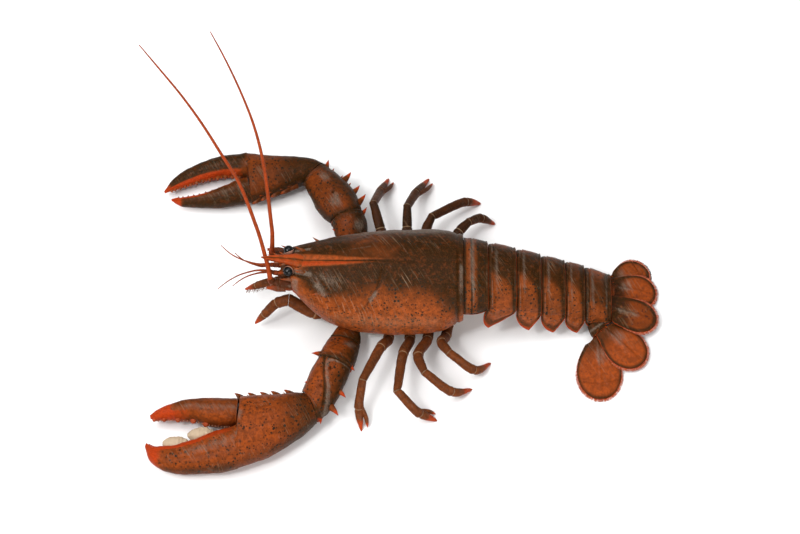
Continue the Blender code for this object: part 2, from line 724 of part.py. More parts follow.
def build_mouth(collection, material):
    for side, name in ((-1, "mandible_left"), (1, "mandible_right")):
        rows = (
            (-58.0, side * 5.2, 10.6, 4.4, 2.2),
            (-63.0, side * 5.3, 12.6, 4.9, 3.0),
            (-69.0, side * 5.2, 17.0, 4.4, 3.0),
            (-74.0, side * 4.6, 22.6, 2.6, 1.8),
        )
        finish(
            make_object(name, tube(rows, steps=2, sides=10, power=2.4), collection),
            material,
        )


# Limbs
def bend(before, place, after):
    """Direction that a joint's flat faces look along."""
    before, place, after = (np.asarray(p[:3], float) for p in (before, place, after))
    return unit(unit(place - before) + unit(after - place))


def leg_rows(name):
    return [
        (*place, width, depth)
        for place, width, depth in zip(LEGS[name], LEG_WIDTHS, LEG_DEPTHS)
    ]


def pincer(rows):
    """Second finger of a walking leg's small pincer, beside the first one."""
    palm = np.array(rows[-2])
    tip = np.array(rows[-1])
    way = unit(tip[:3] - palm[:3])
    aside = unit(np.cross(way, (0, 0, 1))) * PINCER_SPREAD
    if aside[0] < 0:
        aside = -aside
    root = palm[:3] + aside * 0.25 - way * 1.5
    middle = palm[:3] + (tip[:3] - palm[:3]) * 0.5 + aside * 0.85
    end = palm[:3] + (tip[:3] - palm[:3]) * 0.86 + aside * 0.9
    return ((*root, 2.0, 2.2), (*middle, 1.6, 1.8), (*end, 0.6, 0.6))


def build_leg(name, collection, material):
    rows = leg_rows(name)
    knee = bend(rows[2], rows[3], rows[4])
    outward = (0, math.copysign(1, rows[0][1]), 0)
    upper = make_object(
        name + "_upper",
        tube(rows[:4], sides=8, start=outward, end=knee, gaps=(0, GAP / 2)),
        collection,
    )
    finish(upper, material)
    lower = make_object(
        name + "_lower",
        tube(rows[3:], steps=3, sides=8, start=knee, gaps=(GAP / 2, 0)),
        collection,
    )
    if name in PINCER_LEGS:
        combine(lower, [tube(pincer(rows), sides=6)])
    level_foot(lower)
    finish(lower, material)


def swollen(first, last, swell_form):
    """Row between two joints, with its own thickness and shift to the outer side."""
    share, width, depth, aside = swell_form
    first = np.array(first[:3])
    last = np.array(last[:3])
    out = unit(np.cross(last - first, (0, 0, 1)))
    if out[0] < 0:
        out = -out
    place = first * (1 - share) + last * share + out * aside
    return (*place, width, depth)


def limb_spines(rows, tips):
    """Spines that rise from inside a limb to their tips, leaning toward its end."""
    path = refine(rows, 6)[:, :3]
    found = []
    for tip in np.array(tips):
        near = int(np.argmin(np.linalg.norm(path - tip, axis=1)))
        near = min(near, len(path) - 2)
        way = unit(path[near + 1] - path[near])
        foot = path[near] - way * ARM_SPINE_LEAN
        root = tip - unit(tip - foot) * ARM_SPINE_LENGTH
        found.append(spine(root, tip, ARM_SPINE_RADIUS))
    return found


def claw_points(rows, places, edge):
    """Points on one edge of a claw, each with the direction out from it."""
    rows = np.array(rows)
    found = []
    for place in places:
        first = min(int(place), len(rows) - 2)
        row = rows[first] + (rows[first + 1] - rows[first]) * (place - first)
        outer = np.array([row[0], row[1], row[4]])
        inner = np.array([row[2], row[3], row[4]])
        out = unit(inner - outer)
        found.append((inner, out) if edge == "inner" else (outer, -out))
    return found


def palm_spines(rows, places, size):
    length, radius = size
    found = []
    for point, out in claw_points(rows, places, "inner"):
        root = point - out * 0.8
        tip = point + out * length * 0.52 + np.array([-length * 0.75, 0, 0])
        found.append(spine(root, tip, radius))
    return found


def saw_teeth(rows, form, edge):
    first, last, length, radius = form
    places = np.linspace(first, last, TOOTH_COUNT)
    return [
        spine(point, point + out * length, radius * (1 - 0.5 * number / TOOTH_COUNT), 4)
        for number, (point, out) in enumerate(claw_points(rows, places, edge))
    ]


def molar(form):
    """Rounded tooth along the claw's finger."""
    first, last, y, z, width, depth = form
    span = last - first
    rows = [
        (first + span * share, y, z, width * swell_share, depth * swell_share)
        for share, swell_share in (
            (0.0, 0.25), (0.12, 0.62), (0.4, 0.97), (0.6, 1.0), (0.88, 0.62), (1.0, 0.25),
        )
    ]
    return tube(rows, steps=1, sides=8)


def rung_joint(rung):
    """Joint row and direction at the claw's first rung."""
    outer = np.array([rung[0], rung[1], rung[4]])
    inner = np.array([rung[2], rung[3], rung[4]])
    way = unit(np.cross(outer - inner, (0, 0, 1)))
    if way[0] > 0:
        way = -way
    half = np.linalg.norm(outer - inner) / 2
    return (*((outer + inner) / 2), half, rung[5]), way


def build_arm(side_name, joints, wrist_rung, collection, material):
    shoulder, elbow, knee = joints
    wrist, wrist_way = rung_joint(wrist_rung)
    outward = (0, math.copysign(1, shoulder[1]), 0)
    first = bend(shoulder, elbow, knee)
    second = bend(elbow, knee, wrist)
    ischium = make_object(
        f"cheliped_{side_name}_ischium",
        tube((shoulder, elbow), sides=10, start=outward, end=first, gaps=(0, GAP / 2)),
        collection,
    )
    finish(ischium, material)

    merus_rows = (
        elbow, *(swollen(elbow, knee, form) for form in MERUS_SWELLS[side_name]), knee
    )
    merus = make_object(
        f"cheliped_{side_name}_merus",
        tube(merus_rows, sides=12, start=first, end=second, gaps=(GAP / 2, GAP / 2)),
        collection,
    )
    combine(merus, limb_spines(merus_rows, ARM_SPINES[merus.name]))
    finish(merus, material)

    carpus_rows = (
        knee, *(swollen(knee, wrist, form) for form in CARPUS_SWELLS[side_name]), wrist
    )
    carpus = make_object(
        f"cheliped_{side_name}_carpus",
        tube(
            carpus_rows, sides=12, start=second, end=wrist_way, gaps=(GAP / 2, GAP / 2)
        ),
        collection,
    )
    combine(carpus, limb_spines(carpus_rows, ARM_SPINES[carpus.name]))
    finish(carpus, material)


def build_claw(name, rows, finger_rows, extras, finger_extras, collection, material):
    rows = np.array(rows)
    step = rung_joint(rows[0])[1] * GAP / 2
    rows[0, :2] += step[:2]
    rows[0, 2:4] += step[:2]
    claw = make_object(name, slab(rows, steps=2), collection)
    combine(claw, extras)
    level_foot(claw)
    finish(claw, material)
    finger = make_object(name + "_dactyl", slab(finger_rows, steps=2), collection)
    combine(finger, finger_extras)
    level_foot(finger)
    finish(finger, material)


def build_claws(collection, material):
    crusher_extras = palm_spines(CRUSHER, CRUSHER_SPINES, CRUSHER_SPINE_SIZE)
    crusher_extras += [molar(form) for form in MOLARS]
    knobs = [ball(form[:3], form[3], rings=4, sides=6) for form in KNOBS]
    build_claw(
        "crusher_claw", CRUSHER, CRUSHER_DACTYL, crusher_extras, knobs,
        collection, material,
    )
    cutter_extras = palm_spines(CUTTER, CUTTER_SPINES, CUTTER_SPINE_SIZE)
    cutter_extras += saw_teeth(CUTTER, CUTTER_TEETH, "inner")
    build_claw(
        "cutter_claw", CUTTER, CUTTER_DACTYL, cutter_extras,
        saw_teeth(CUTTER_DACTYL, DACTYL_TEETH, "outer"), collection, material,
    )


def build_feelers(collection, material):
    for name, foot, whip in (
        ("antenna_left", ANTENNA_FOOT_LEFT, ANTENNA_LEFT),
        ("antenna_right", ANTENNA_FOOT_RIGHT, ANTENNA_RIGHT),
    ):
        joint = bend(foot[-2], foot[-1], whip[1])
        base = make_object(
            name + "_base",
            tube(foot, sides=10, start=(-1, 0, 0), end=joint, gaps=(0, GAP / 2)),
            collection,
        )
        turn = math.copysign(1, foot[0][1])
        scale = [(x, y * turn, z, half, deep) for x, y, z, half, deep in ANTENNA_SCALE]
        combine(base, [tube(scale, steps=1, sides=6)])
        finish(base, material)
        flagellum = make_object(
            name + "_flagellum",
            tube(whip, steps=2, sides=6, start=joint, gaps=(GAP / 2, 0)),
            collection,
        )
        finish(flagellum, material)
    for name, rows in (
        ("antennule_left", ANTENNULE_LEFT), ("antennule_right", ANTENNULE_RIGHT),
    ):
        antennule = make_object(
            name, tube(rows, sides=6, start=(-1, 0, 0)), collection
        )
        fork = np.array(rows[1])
        inner = [tuple(fork - (-0.5, 0, 0.3, 0.5, 0.5))]
        for row in rows[2:]:
            row = np.array(row)
            row[:3] = fork[:3] + (row[:3] - fork[:3]) * ANTENNULE_INNER_SHARE
            row[2] -= ANTENNULE_INNER_DROP
            inner.append(tuple(row))
        combine(antennule, [tube(inner, steps=1, sides=6)])
        finish(antennule, material)


def build_maxillipeds(collection, material):
    for name, rows in (
        ("maxilliped_left", MAXILLIPED_LEFT), ("maxilliped_right", MAXILLIPED_RIGHT),
    ):
        joint = bend(rows[1], rows[2], rows[3])
        upper = make_object(
            name + "_upper",
            tube(rows[:3], sides=8, start=(-1, 0, 0), end=joint, gaps=(0, GAP / 2)),
            collection,
        )
        finish(upper, material)
        lower = make_object(
            name + "_lower",
            tube(rows[2:], sides=8, start=joint, gaps=(GAP / 2, 0)),
            collection,
        )
        finish(lower, material)


# Abdomen and tail fan
def swell(rows):
    """The same path, thicker by the gap all round and at both ends."""
    rows = np.array(rows, float)
    rows[:, 3:] += GAP * 1.2
    rows[0, :3] -= unit(rows[1, :3] - rows[0, :3]) * GAP
    rows[-1, :3] += unit(rows[-1, :3] - rows[-2, :3]) * GAP
    return rows


def abdomen_ring(x, half, top, middle, plate_half, plate_low, lean):
    """Section of an abdomen segment, whose side plates hang down to their tips."""
    right = []
    for angle in np.linspace(0, math.pi / 2, ARCH_POINTS - 1):
        rise = (top - middle) * math.cos(angle)
        right.append((half * math.sin(angle), middle + rise, 0.0))
    belly = top - half * 2 * BELLY_SHARE
    low = min(plate_low, middle - 1.0)
    deep = middle - low
    right.append((half + (plate_half - half) * 0.7 + 0.3, middle - deep * 0.45, 0.45))
    right.append((plate_half, low, 1.0))
    right.append((plate_half - PLATE_THICKNESS, low + 0.3, 1.0))
    right.append(
        (half - PLATE_THICKNESS * 1.6, middle - 2.2 - deep * 0.2, 0.1)
    )
    right.append((half * 0.62, min(belly + 1.5, middle - 7.0), 0.0))
    left = [(-y, z, share) for y, z, share in reversed(right[1:])]
    under = [(0, min(belly, middle - 8.0), 0.0)]
    return [(x - lean * share, y, z) for y, z, share in right + under + left]


def swimmerets(first, last):
    """Pair of paddles under one segment, thinner and shorter toward the tail."""
    x, half, top, middle = (first + last) / 2
    belly = min(top - half * 2 * BELLY_SHARE, middle - 8.0)
    size = half / ABDOMEN[1][1]
    return [
        tube(
            [
                (x + along * size, y * size * turn, belly + rise * size, wide, deep)
                for along, y, rise, wide, deep in SWIMMERET
            ],
            sides=8,
        )
        for turn in (-1, 1)
    ]


def build_abdomen(collection, material):
    for number in range(len(PLEURA)):
        first = np.array(ABDOMEN[number])
        last = np.array(ABDOMEN[number + 1])
        peak, tip_half, tip, lean = PLEURA[number]
        rings = []
        for place, scale in zip(RIB_PLACES, RIB_SCALES):
            x, half, top, middle = first + (last - first) * place
            if place == 0:
                x += GAP / 2
            if place == 1:
                x -= GAP / 2
            reach = 1 - abs(place - peak) / (peak if place < peak else 1 - peak)
            reach **= FRONT_FULLNESS if place < peak else REAR_FULLNESS
            half *= scale
            rings.append(
                abdomen_ring(
                    x, half, middle + (top - middle) * scale, middle,
                    half + (tip_half - half) * reach,
                    middle + (tip - middle) * reach,
                    lean * reach,
                )
            )
        segment = make_object(f"abdomen_{number + 1}", stack(rings), collection)
        if number == len(PLEURA) - 1:
            sockets = [
                tube(swell(rows), sides=10, power=3.0)
                for rows in (UROPOD_BASE_LEFT, UROPOD_BASE_RIGHT)
            ]
            combine(segment, sockets, operation="DIFFERENCE")
        if number + 1 in SWIMMERET_SEGMENTS:
            combine(segment, swimmerets(first, last))
        level_foot(segment)
        finish(segment, material)


def blade(root, form, start):
    """Flat blade of the tail fan, wide and round toward its end."""
    root = np.asarray(root, float)
    tip = np.array(form[:3])
    half, root_width = form[3:]
    way = unit(tip - root)
    length = np.linalg.norm(tip - root)
    rings = []
    for number, share in enumerate(BLADE_PLACES):
        centre = root + way * length * share
        if share > BLADE_WIDEST:
            past = (share - BLADE_WIDEST) / (1 - BLADE_WIDEST)
            width = math.sqrt(1 - past**2)
        else:
            before = math.sin(share / BLADE_WIDEST * math.pi / 2)
            width = root_width + (1 - root_width) * before
        across = unit(np.cross(way if number else start, (0, 0, 1)))
        thin = min(1, share * 3)
        thick = ROOT_HALF_THICKNESS * (1 - thin) + BLADE_HALF_THICKNESS * thin
        rings.append(
            [
                centre + across * half * width * y + np.array([0, 0, thick * z])
                for y, z in (
                    (1, 0), (0.8, 0.7), (0.2, 1), (-0.2, 1), (-0.8, 0.7),
                    (-1, 0), (-0.8, -0.7), (-0.2, -1), (0.2, -1), (0.8, -0.7),
                )
            ]
        )
    return stack(rings)


def build_tail(collection, material):
    telson = make_object(
        "telson", blade(TELSON_ROOT, TELSON, (1, 0, 0)), collection
    )
    finish(telson, material)
    for side, turn, rows, inner, outer in (
        ("left", -1, UROPOD_BASE_LEFT, UROPOD_INNER_LEFT, UROPOD_OUTER_LEFT),
        ("right", 1, UROPOD_BASE_RIGHT, UROPOD_INNER_RIGHT, UROPOD_OUTER_RIGHT),
    ):
        end = np.array(rows[-1][:3])
        way = unit((end - np.array(rows[-2][:3])) * (1, 1, 0))
        across = unit(np.cross((0, 0, 1), way)) * turn
        base = make_object(
            f"uropod_{side}_base", tube(rows, sides=10, power=3.0, end=way), collection
        )
        finish(base, material)
        for kind, form, shift, rise in (
            ("inner", inner, -ROOT_SHIFT, INNER_ROOT_RISE),
            ("outer", outer, ROOT_SHIFT, OUTER_ROOT_RISE),
        ):
            root = end + across * shift + way * GAP + np.array([0, 0, rise])
            part = make_object(
                f"uropod_{side}_{kind}", blade(root, form, way), collection
            )
            level_foot(part)
            finish(part, material)


def build_lobster():
    clear_scene()
    body = new_collection("american_lobster")
    shell = make_material("shell", SHELL)
    claw = make_material("claw", CLAW)
    leg = make_material("leg", LEG)
    feeler = make_material("feeler", FEELER)
    eye = make_material("eye", EYE)
    pale = make_material("pale_shell", PALE)
    build_carapace(body, shell)
    build_sternum(body, pale)
    build_head(body, shell, eye)
    build_mouth(body, pale)
    build_abdomen(body, shell)
    build_tail(body, shell)
    build_arm("left", ARM_LEFT, CRUSHER[0], body, claw)
    build_arm("right", ARM_RIGHT, CUTTER[0], body, claw)
    build_claws(body, claw)
    for name in LEGS:
        build_leg(name, body, leg)
    build_maxillipeds(body, leg)
    build_feelers(body, feeler)


build_lobster()
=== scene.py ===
"""Looks of the american lobster: shell, claws, eyes, feelers, teeth and hair.

Lengths are millimetres in the layout of the solids, where the head points along -X and
the animal's left side faces -Y. Each mesh is moved to the frame and made in metres. The
sizes of the solids are repeated here, and each piece takes the place of its solid.
"""

import math

import bmesh
import bpy
import numpy as np
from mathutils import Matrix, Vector, noise


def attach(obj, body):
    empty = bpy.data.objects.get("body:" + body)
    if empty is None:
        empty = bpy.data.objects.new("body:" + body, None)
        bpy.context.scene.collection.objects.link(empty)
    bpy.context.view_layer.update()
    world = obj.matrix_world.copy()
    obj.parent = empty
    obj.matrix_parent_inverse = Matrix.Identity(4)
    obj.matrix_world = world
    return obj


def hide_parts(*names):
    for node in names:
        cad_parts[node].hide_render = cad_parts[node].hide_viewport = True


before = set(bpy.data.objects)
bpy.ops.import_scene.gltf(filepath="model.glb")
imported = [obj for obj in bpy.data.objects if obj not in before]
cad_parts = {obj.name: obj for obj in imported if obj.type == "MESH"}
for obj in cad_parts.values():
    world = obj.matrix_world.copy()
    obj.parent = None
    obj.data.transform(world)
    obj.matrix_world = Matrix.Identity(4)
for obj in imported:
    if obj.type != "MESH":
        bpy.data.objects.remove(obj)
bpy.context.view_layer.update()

METRES = 0.001
CENTRE_X = 0.05
CENTRE_Y = 6.45
GAP = 0.3
RANDOM_SEED = 11
SIDES = (("left", -1), ("right", 1))
# Marks on the surfaces. The fourth is painted highlight, the last is pale scratches that partly
# stand for painted highlight hatching, and dark holds some painted shade besides the shell's own
# dark colour.
MARKS = ("dark", "red", "pale", "grey", "spots", "scratch")

# Carapace, from the front edge to the back edge.
# Columns: x, half width, top, widest height, lower edge height.
CARAPACE = (
    (-82.0, 15.5, 72.6, 61.0, 50.0),
    (-77.0, 19.0, 73.0, 57.0, 44.0),
    (-65.0, 26.0, 73.0, 47.5, 29.0),
    (-55.0, 31.0, 72.6, 41.0, 22.0),
    (-44.5, 34.4, 72.5, 38.0, 18.5),
    (-24.6, 38.6, 72.5, 35.5, 17.0),
    (-2.2, 40.6, 72.5, 36.5, 17.0),
    (17.8, 40.4, 72.0, 39.5, 18.0),
    (34.0, 38.0, 71.6, 43.5, 20.0),
    (43.0, 34.0, 71.2, 46.5, 24.0),
    (47.5, 32.2, 70.3, 47.0, 27.0),
)
LIP_WIDTH = 2.0
LIP_RISE = 1.0
UPPER_POWER = 2.1
LOWER_POWER = 2.5
LOWER_REACH = 1.35

# Rostrum: x, y, z, half width, half depth.
ROSTRUM = (
    (-66.0, 0.0, 68.5, 7.5, 3.6),
    (-76.0, 0.0, 71.5, 6.4, 3.2),
    (-84.0, 0.0, 73.6, 4.4, 2.6),
    (-93.0, 0.0, 75.6, 3.0, 1.9),
    (-103.5, 0.0, 77.4, 0.5, 0.5),
)

# Spines of the carapace's right side, each mirrored: root, tip, root radius.
CARAPACE_SPINES = (
    ((-85.0, 3.0, 74.0), (-90.5, 5.8, 75.6), 1.4),
    ((-90.0, 2.2, 75.0), (-95.5, 4.4, 76.8), 1.2),
    ((-95.0, 1.4, 76.0), (-99.5, 2.8, 77.4), 0.9),
    ((-80.0, 13.0, 66.5), (-89.5, 14.4, 69.5), 2.2),
    ((-72.0, 9.5, 71.0), (-78.5, 10.5, 74.6), 1.9),
    ((-60.0, 22.0, 61.0), (-66.0, 24.5, 64.0), 1.8),
)

EYE_PLACE = (-83.4, 8.8, 71.8)
EYE_RADIUS = 3.9
ORBIT_RADIUS = 4.4
# Lean at which the eye's pale rim starts, and the left stalk: x, y mirrored, z, half width.
EYE_RIM_FROM = {"left": 1.42, "right": 1.62}
EYE_STALK_ROWS = ((-84.9, 7.0, 65.6, 2.2), (-84.6, 7.5, 68.0, 2.3), (-84.2, 8.2, 70.5, 2.8))
# Mandibles: x, y from the middle, z, half width, half depth.
MANDIBLE = (
    (-58.0, 5.2, 10.6, 4.4, 2.2), (-63.0, 5.3, 12.6, 4.9, 3.0),
    (-69.0, 5.2, 17.0, 4.4, 3.0), (-74.0, 4.6, 22.6, 2.6, 1.8),
)

# Head below the carapace: x, half width, bottom. Its top follows the carapace.
HEAD = (
    (-56.3, 10.0, 13.5),
    (-66.0, 10.0, 19.0),
    (-76.0, 9.5, 30.5),
    (-82.3, 7.2, 38.0),
)
# Head in front of the carapace: x, half width, top, bottom.
FACE = (
    (-82.4, 7.2, 66.0, 38.5),
    (-87.0, 7.0, 65.0, 48.0),
    (-89.5, 6.4, 62.5, 53.0),
)

# Breast plate between the legs: x, half width, bottom. Its top follows the carapace.
STERNUM = (
    (-56.0, 15.0, 10.5),
    (-51.0, 19.5, 9.0),
    (-45.5, 23.6, 8.0),
    (-20.0, 23.6, 7.5),
    (15.0, 23.6, 7.5),
    (42.0, 23.6, 8.5),
    (46.5, 18.0, 14.0),
)

# Abdomen, one row for each joint plane from the carapace to the tail fan.
# Columns: x, half width, top, widest height.
ABDOMEN = (
    (47.9, 31.8, 70.3, 46.0),
    (66.5, 27.9, 65.2, 46.8),
    (88.0, 25.6, 59.6, 40.4),
    (107.0, 24.1, 51.4, 33.2),
    (125.5, 22.6, 43.0, 26.0),
    (140.5, 22.3, 34.8, 18.8),
    (161.0, 19.2, 21.9, 10.7),
)
# Side plates: tip along the segment, half width at the tip, tip height, lean forward.
PLEURA = (
    (0.3, 29.4, 41.0, 0.0),
    (0.42, 29.8, 20.0, 9.0),
    (0.58, 29.5, 15.6, 1.5),
    (0.58, 28.8, 10.2, 1.5),
    (0.7, 26.8, 5.6, 1.5),
    (0.4, 22.6, 4.5, 0.0),
)
# Swimmerets: path from the belly as x from the segment's middle, y, z from the belly,
# half width, half depth, and the segments that bear them.
SWIMMERET = (
    (0.0, 11.0, 3.0, 2.4, 2.0), (2.0, 12.0, -3.0, 2.4, 1.6),
    (6.0, 12.5, -7.5, 4.4, 1.1), (11.0, 13.0, -12.5, 4.6, 0.9),
    (15.0, 13.2, -16.0, 1.6, 0.7),
)
SWIMMERET_SEGMENTS = (2, 3, 4, 5)
# Girth of a segment along it: places and scales.
RIB_PLACES = (0.0, 0.04, 0.11, 0.15, 0.3, 0.55, 0.85, 0.955, 0.985, 1.0)
RIB_SCALES = (0.925, 0.955, 0.975, 0.985, 1.01, 1.018, 1.012, 1.012, 0.985, 0.93)
FRONT_FULLNESS = 0.3
REAR_FULLNESS = 0.75
BELLY_SHARE = 0.5
PLATE_THICKNESS = 2.0

# Claws, one row across the claw at each place from the wrist to the tip.
# Columns: x and y of the outer edge, x and y of the inner edge, mid height, half depth.
CRUSHER = (
    (-62.0, -106.5, -70.8, -84.0, 15.5, 11.0),
    (-70.0, -114.5, -77.5, -83.5, 16.0, 14.0),
    (-83.0, -125.0, -87.0, -85.0, 16.5, 16.0),
    (-101.0, -136.0, -103.0, -86.4, 16.4, 16.9),
    (-119.5, -143.0, -119.5, -86.9, 15.9, 16.3),
    (-121.5, -143.6, -121.5, -110.0, 15.5, 14.5),
    (-137.0, -146.3, -137.0, -114.0, 14.0, 13.0),
    (-157.0, -146.8, -155.0, -121.0, 12.0, 10.8),
    (-174.0, -144.0, -172.0, -124.5, 10.5, 8.5),
    (-186.0, -136.0, -183.0, -124.5, 9.5, 5.5),
    (-190.5, -124.5, -189.5, -121.0, 9.5, 1.2),
)
CRUSHER_DACTYL = (
    (-120.7, -88.2, -122.1, -109.2, 16.0, 11.0),
    (-129.0, -88.2, -131.0, -110.2, 16.0, 12.0),
    (-142.0, -87.6, -142.5, -108.6, 15.5, 11.0),
    (-156.0, -88.4, -156.0, -104.3, 14.5, 10.0),
    (-171.0, -91.0, -170.5, -103.0, 13.0, 7.6),
    (-182.0, -95.5, -181.0, -103.0, 11.5, 5.5),
    (-187.5, -99.0, -187.0, -101.6, 11.0, 1.4),
)
CUTTER = (
    (-59.5, 115.6, -74.5, 98.5, 14.5, 8.5),
    (-70.0, 119.8, -81.0, 96.5, 14.0, 11.0),
    (-84.0, 121.8, -90.0, 92.2, 13.5, 12.5),
    (-101.0, 123.2, -104.0, 87.5, 12.9, 13.3),
    (-118.0, 125.2, -114.5, 82.8, 12.6, 12.9),
    (-120.5, 125.4, -119.0, 105.0, 12.5, 10.5),
    (-135.0, 124.2, -134.0, 106.5, 11.5, 9.0),
    (-152.0, 120.0, -151.0, 104.0, 10.5, 7.5),
    (-167.0, 113.2, -164.5, 100.0, 9.5, 6.0),
    (-178.0, 103.5, -175.5, 96.5, 8.5, 4.0),
    (-183.5, 95.0, -182.5, 93.2, 8.5, 0.9),
)
CUTTER_DACTYL = (
    (-119.2, 104.4, -114.9, 83.6, 12.5, 9.0),
    (-128.0, 100.6, -125.0, 82.0, 12.0, 9.5),
    (-142.0, 94.6, -140.0, 80.4, 11.0, 7.8),
    (-156.0, 90.4, -155.0, 80.4, 10.0, 6.0),
    (-168.0, 88.6, -167.5, 81.5, 9.0, 4.2),
    (-177.5, 88.2, -177.3, 86.6, 8.5, 0.8),
)

# Arms: joints from the breast plate to the carpus as x, y, z, half width, half depth.
ARM_LEFT = (
    (-38.5, -23.9, 11.6, 8.0, 3.8),
    (-41.5, -38.0, 14.0, 12.0, 5.6),
    (-49.2, -61.5, 21.0, 13.2, 11.5),
)
ARM_RIGHT = (
    (-36.5, 23.9, 11.6, 7.0, 3.8),
    (-35.5, 40.0, 14.0, 9.8, 5.6),
    (-41.3, 65.5, 21.5, 13.0, 11.5),
)
# Swollen places along the merus and the carpus: share of the way, half width,
# half depth, and how far the middle lies toward the arm's outer side.
MERUS_SWELLS = {
    "left": ((0.35, 13.4, 8.8, 0.0), (0.72, 14.0, 11.2, 0.0)),
    "right": ((0.35, 12.0, 8.6, 0.8), (0.7, 13.2, 11.2, 1.4)),
}
CARPUS_SWELLS = {
    "left": ((0.36, 14.0, 13.4, 0.2), (0.66, 13.4, 12.6, 0.8)),
    "right": ((0.34, 16.2, 13.4, 0.8), (0.66, 14.4, 12.0, 1.0)),
}
# Tips of the arm segments' spines.
ARM_SPINES = {
    "cheliped_left_merus": ((-34.6, -67.2, 23.0), (-66.0, -53.4, 24.0)),
    "cheliped_left_carpus": (
        (-41.2, -88.6, 21.0), (-46.6, -102.0, 18.0), (-59.5, -107.4, 15.0),
        (-71.1, -77.2, 23.0), (-54.0, -73.0, 38.0), (-61.0, -86.0, 35.5),
    ),
    "cheliped_right_merus": ((-26.0, 72.5, 23.0), (-51.6, 54.2, 22.0)),
    "cheliped_right_carpus": (
        (-27.0, 84.0, 23.0), (-31.6, 92.9, 21.0), (-38.4, 105.5, 20.0),
        (-56.0, 118.0, 17.0), (-62.3, 71.5, 22.0), (-69.8, 88.0, 20.0),
        (-54.0, 84.0, 38.0),
    ),
}
ARM_SPINE_LENGTH = 8.6
ARM_SPINE_RADIUS = 2.9
ARM_SPINE_LEAN = 5.0

# Spines on the inner edge of each palm, as places along the claw's rows.
CRUSHER_SPINES = (1.37, 2.26, 2.78, 3.35, 3.95)
CUTTER_SPINES = (1.2, 1.8, 2.4, 3.0, 3.6)
CRUSHER_SPINE_SIZE = 7.0, 3.2
CUTTER_SPINE_SIZE = 5.4, 3.0

# Rounded crushing teeth: first x, last x, y, z, half width, half depth.
MOLARS = (
    (-177.5, -156.5, -122.6, 12.2, 6.0, 5.4),
    (-158.8, -136.5, -116.4, 13.8, 6.4, 6.0),
)
MOLAR_SHAPE = ((0.0, 0.25), (0.12, 0.62), (0.4, 0.97), (0.6, 1.0), (0.88, 0.62), (1.0, 0.25))
KNOBS = (
    (-184.0, -103.2, 11.3, 1.5), (-176.5, -103.2, 12.2, 1.9),
    (-166.0, -103.8, 13.2, 2.2), (-154.5, -105.2, 14.2, 2.4),
    (-145.0, -108.0, 14.8, 2.6),
)
# Saw teeth of the cutter: first and last place along the rows, tooth length, radius.
CUTTER_TEETH = 5.4, 9.3, 2.5, 2.4
DACTYL_TEETH = 0.5, 4.4, 2.5, 2.4

# Walking legs: joints from the breast plate to the tip.
LEGS = {
    "leg_2_left": (
        (-8.0, -23.9, 11.5), (-8.6, -36.0, 14.0), (-14.3, -47.0, 22.0),
        (-28.1, -77.2, 27.0), (-30.8, -93.2, 12.0), (-28.9, -107.0, -0.4),
    ),
    "leg_3_left": (
        (7.6, -23.9, 11.5), (7.6, -36.0, 14.0), (2.3, -53.0, 22.0),
        (-2.2, -86.0, 27.0), (15.0, -96.8, 10.0), (28.3, -98.2, -0.4),
    ),
    "leg_4_left": (
        (22.0, -23.9, 11.5), (21.0, -36.0, 14.0), (13.6, -54.0, 22.0),
        (18.4, -70.5, 27.0), (38.7, -79.5, 12.0), (54.8, -71.7, -0.4),
    ),
    "leg_5_left": (
        (36.5, -23.9, 11.5), (35.0, -33.0, 13.0), (31.5, -42.0, 20.0),
        (36.9, -53.2, 25.0), (55.5, -60.7, 11.0), (69.2, -49.5, -0.4),
    ),
    "leg_2_right": (
        (-10.0, 23.9, 11.5), (-11.5, 38.0, 14.0), (-15.0, 54.0, 22.0),
        (-20.5, 74.0, 27.0), (-15.5, 92.5, 12.0), (-8.7, 111.5, -0.4),
    ),
    "leg_3_right": (
        (6.5, 23.9, 11.5), (6.5, 38.0, 14.0), (5.5, 55.0, 22.0),
        (5.5, 72.0, 25.5), (12.1, 90.0, 14.0), (22.7, 111.3, -0.4),
    ),
    "leg_4_right": (
        (21.5, 23.9, 11.5), (20.5, 38.0, 14.0), (20.0, 52.0, 21.0),
        (24.5, 64.0, 24.5), (50.7, 83.6, 12.0), (63.1, 88.9, -0.4),
    ),
    "leg_5_right": (
        (36.5, 23.9, 11.5), (38.5, 38.0, 13.5), (45.5, 53.5, 19.0),
        (52.8, 61.5, 20.0), (62.5, 68.6, 13.0), (74.1, 70.6, -0.4),
    ),
}
LEG_WIDTHS = (4.2, 4.0, 3.9, 3.1, 3.5, 0.9)
LEG_DEPTHS = (4.0, 4.2, 4.4, 3.6, 3.6, 0.9)
PINCER_LEGS = ("leg_2_left", "leg_3_left", "leg_2_right", "leg_3_right")
PINCER_SPREAD = 5.5

# Third maxillipeds: joints from under the head to the tip, x, y, z, half width, half depth.
MAXILLIPED_LEFT = (
    (-56.3, -13.0, 14.4, 3.4, 3.4), (-65.0, -18.0, 21.0, 4.4, 3.8),
    (-84.2, -10.8, 29.5, 4.8, 4.4), (-93.0, -12.2, 27.0, 4.0, 4.0),
    (-102.9, -17.4, 18.0, 3.2, 3.2), (-110.0, -20.6, 9.5, 0.8, 0.8),
)
MAXILLIPED_RIGHT = (
    (-56.3, 13.0, 14.4, 3.4, 3.4), (-65.0, 17.0, 21.0, 4.4, 3.8),
    (-82.0, 10.0, 29.0, 4.2, 4.0), (-94.9, 6.0, 28.0, 3.4, 3.4),
    (-109.0, 6.4, 20.0, 2.8, 2.8), (-117.9, 7.5, 12.0, 0.8, 0.8),
)

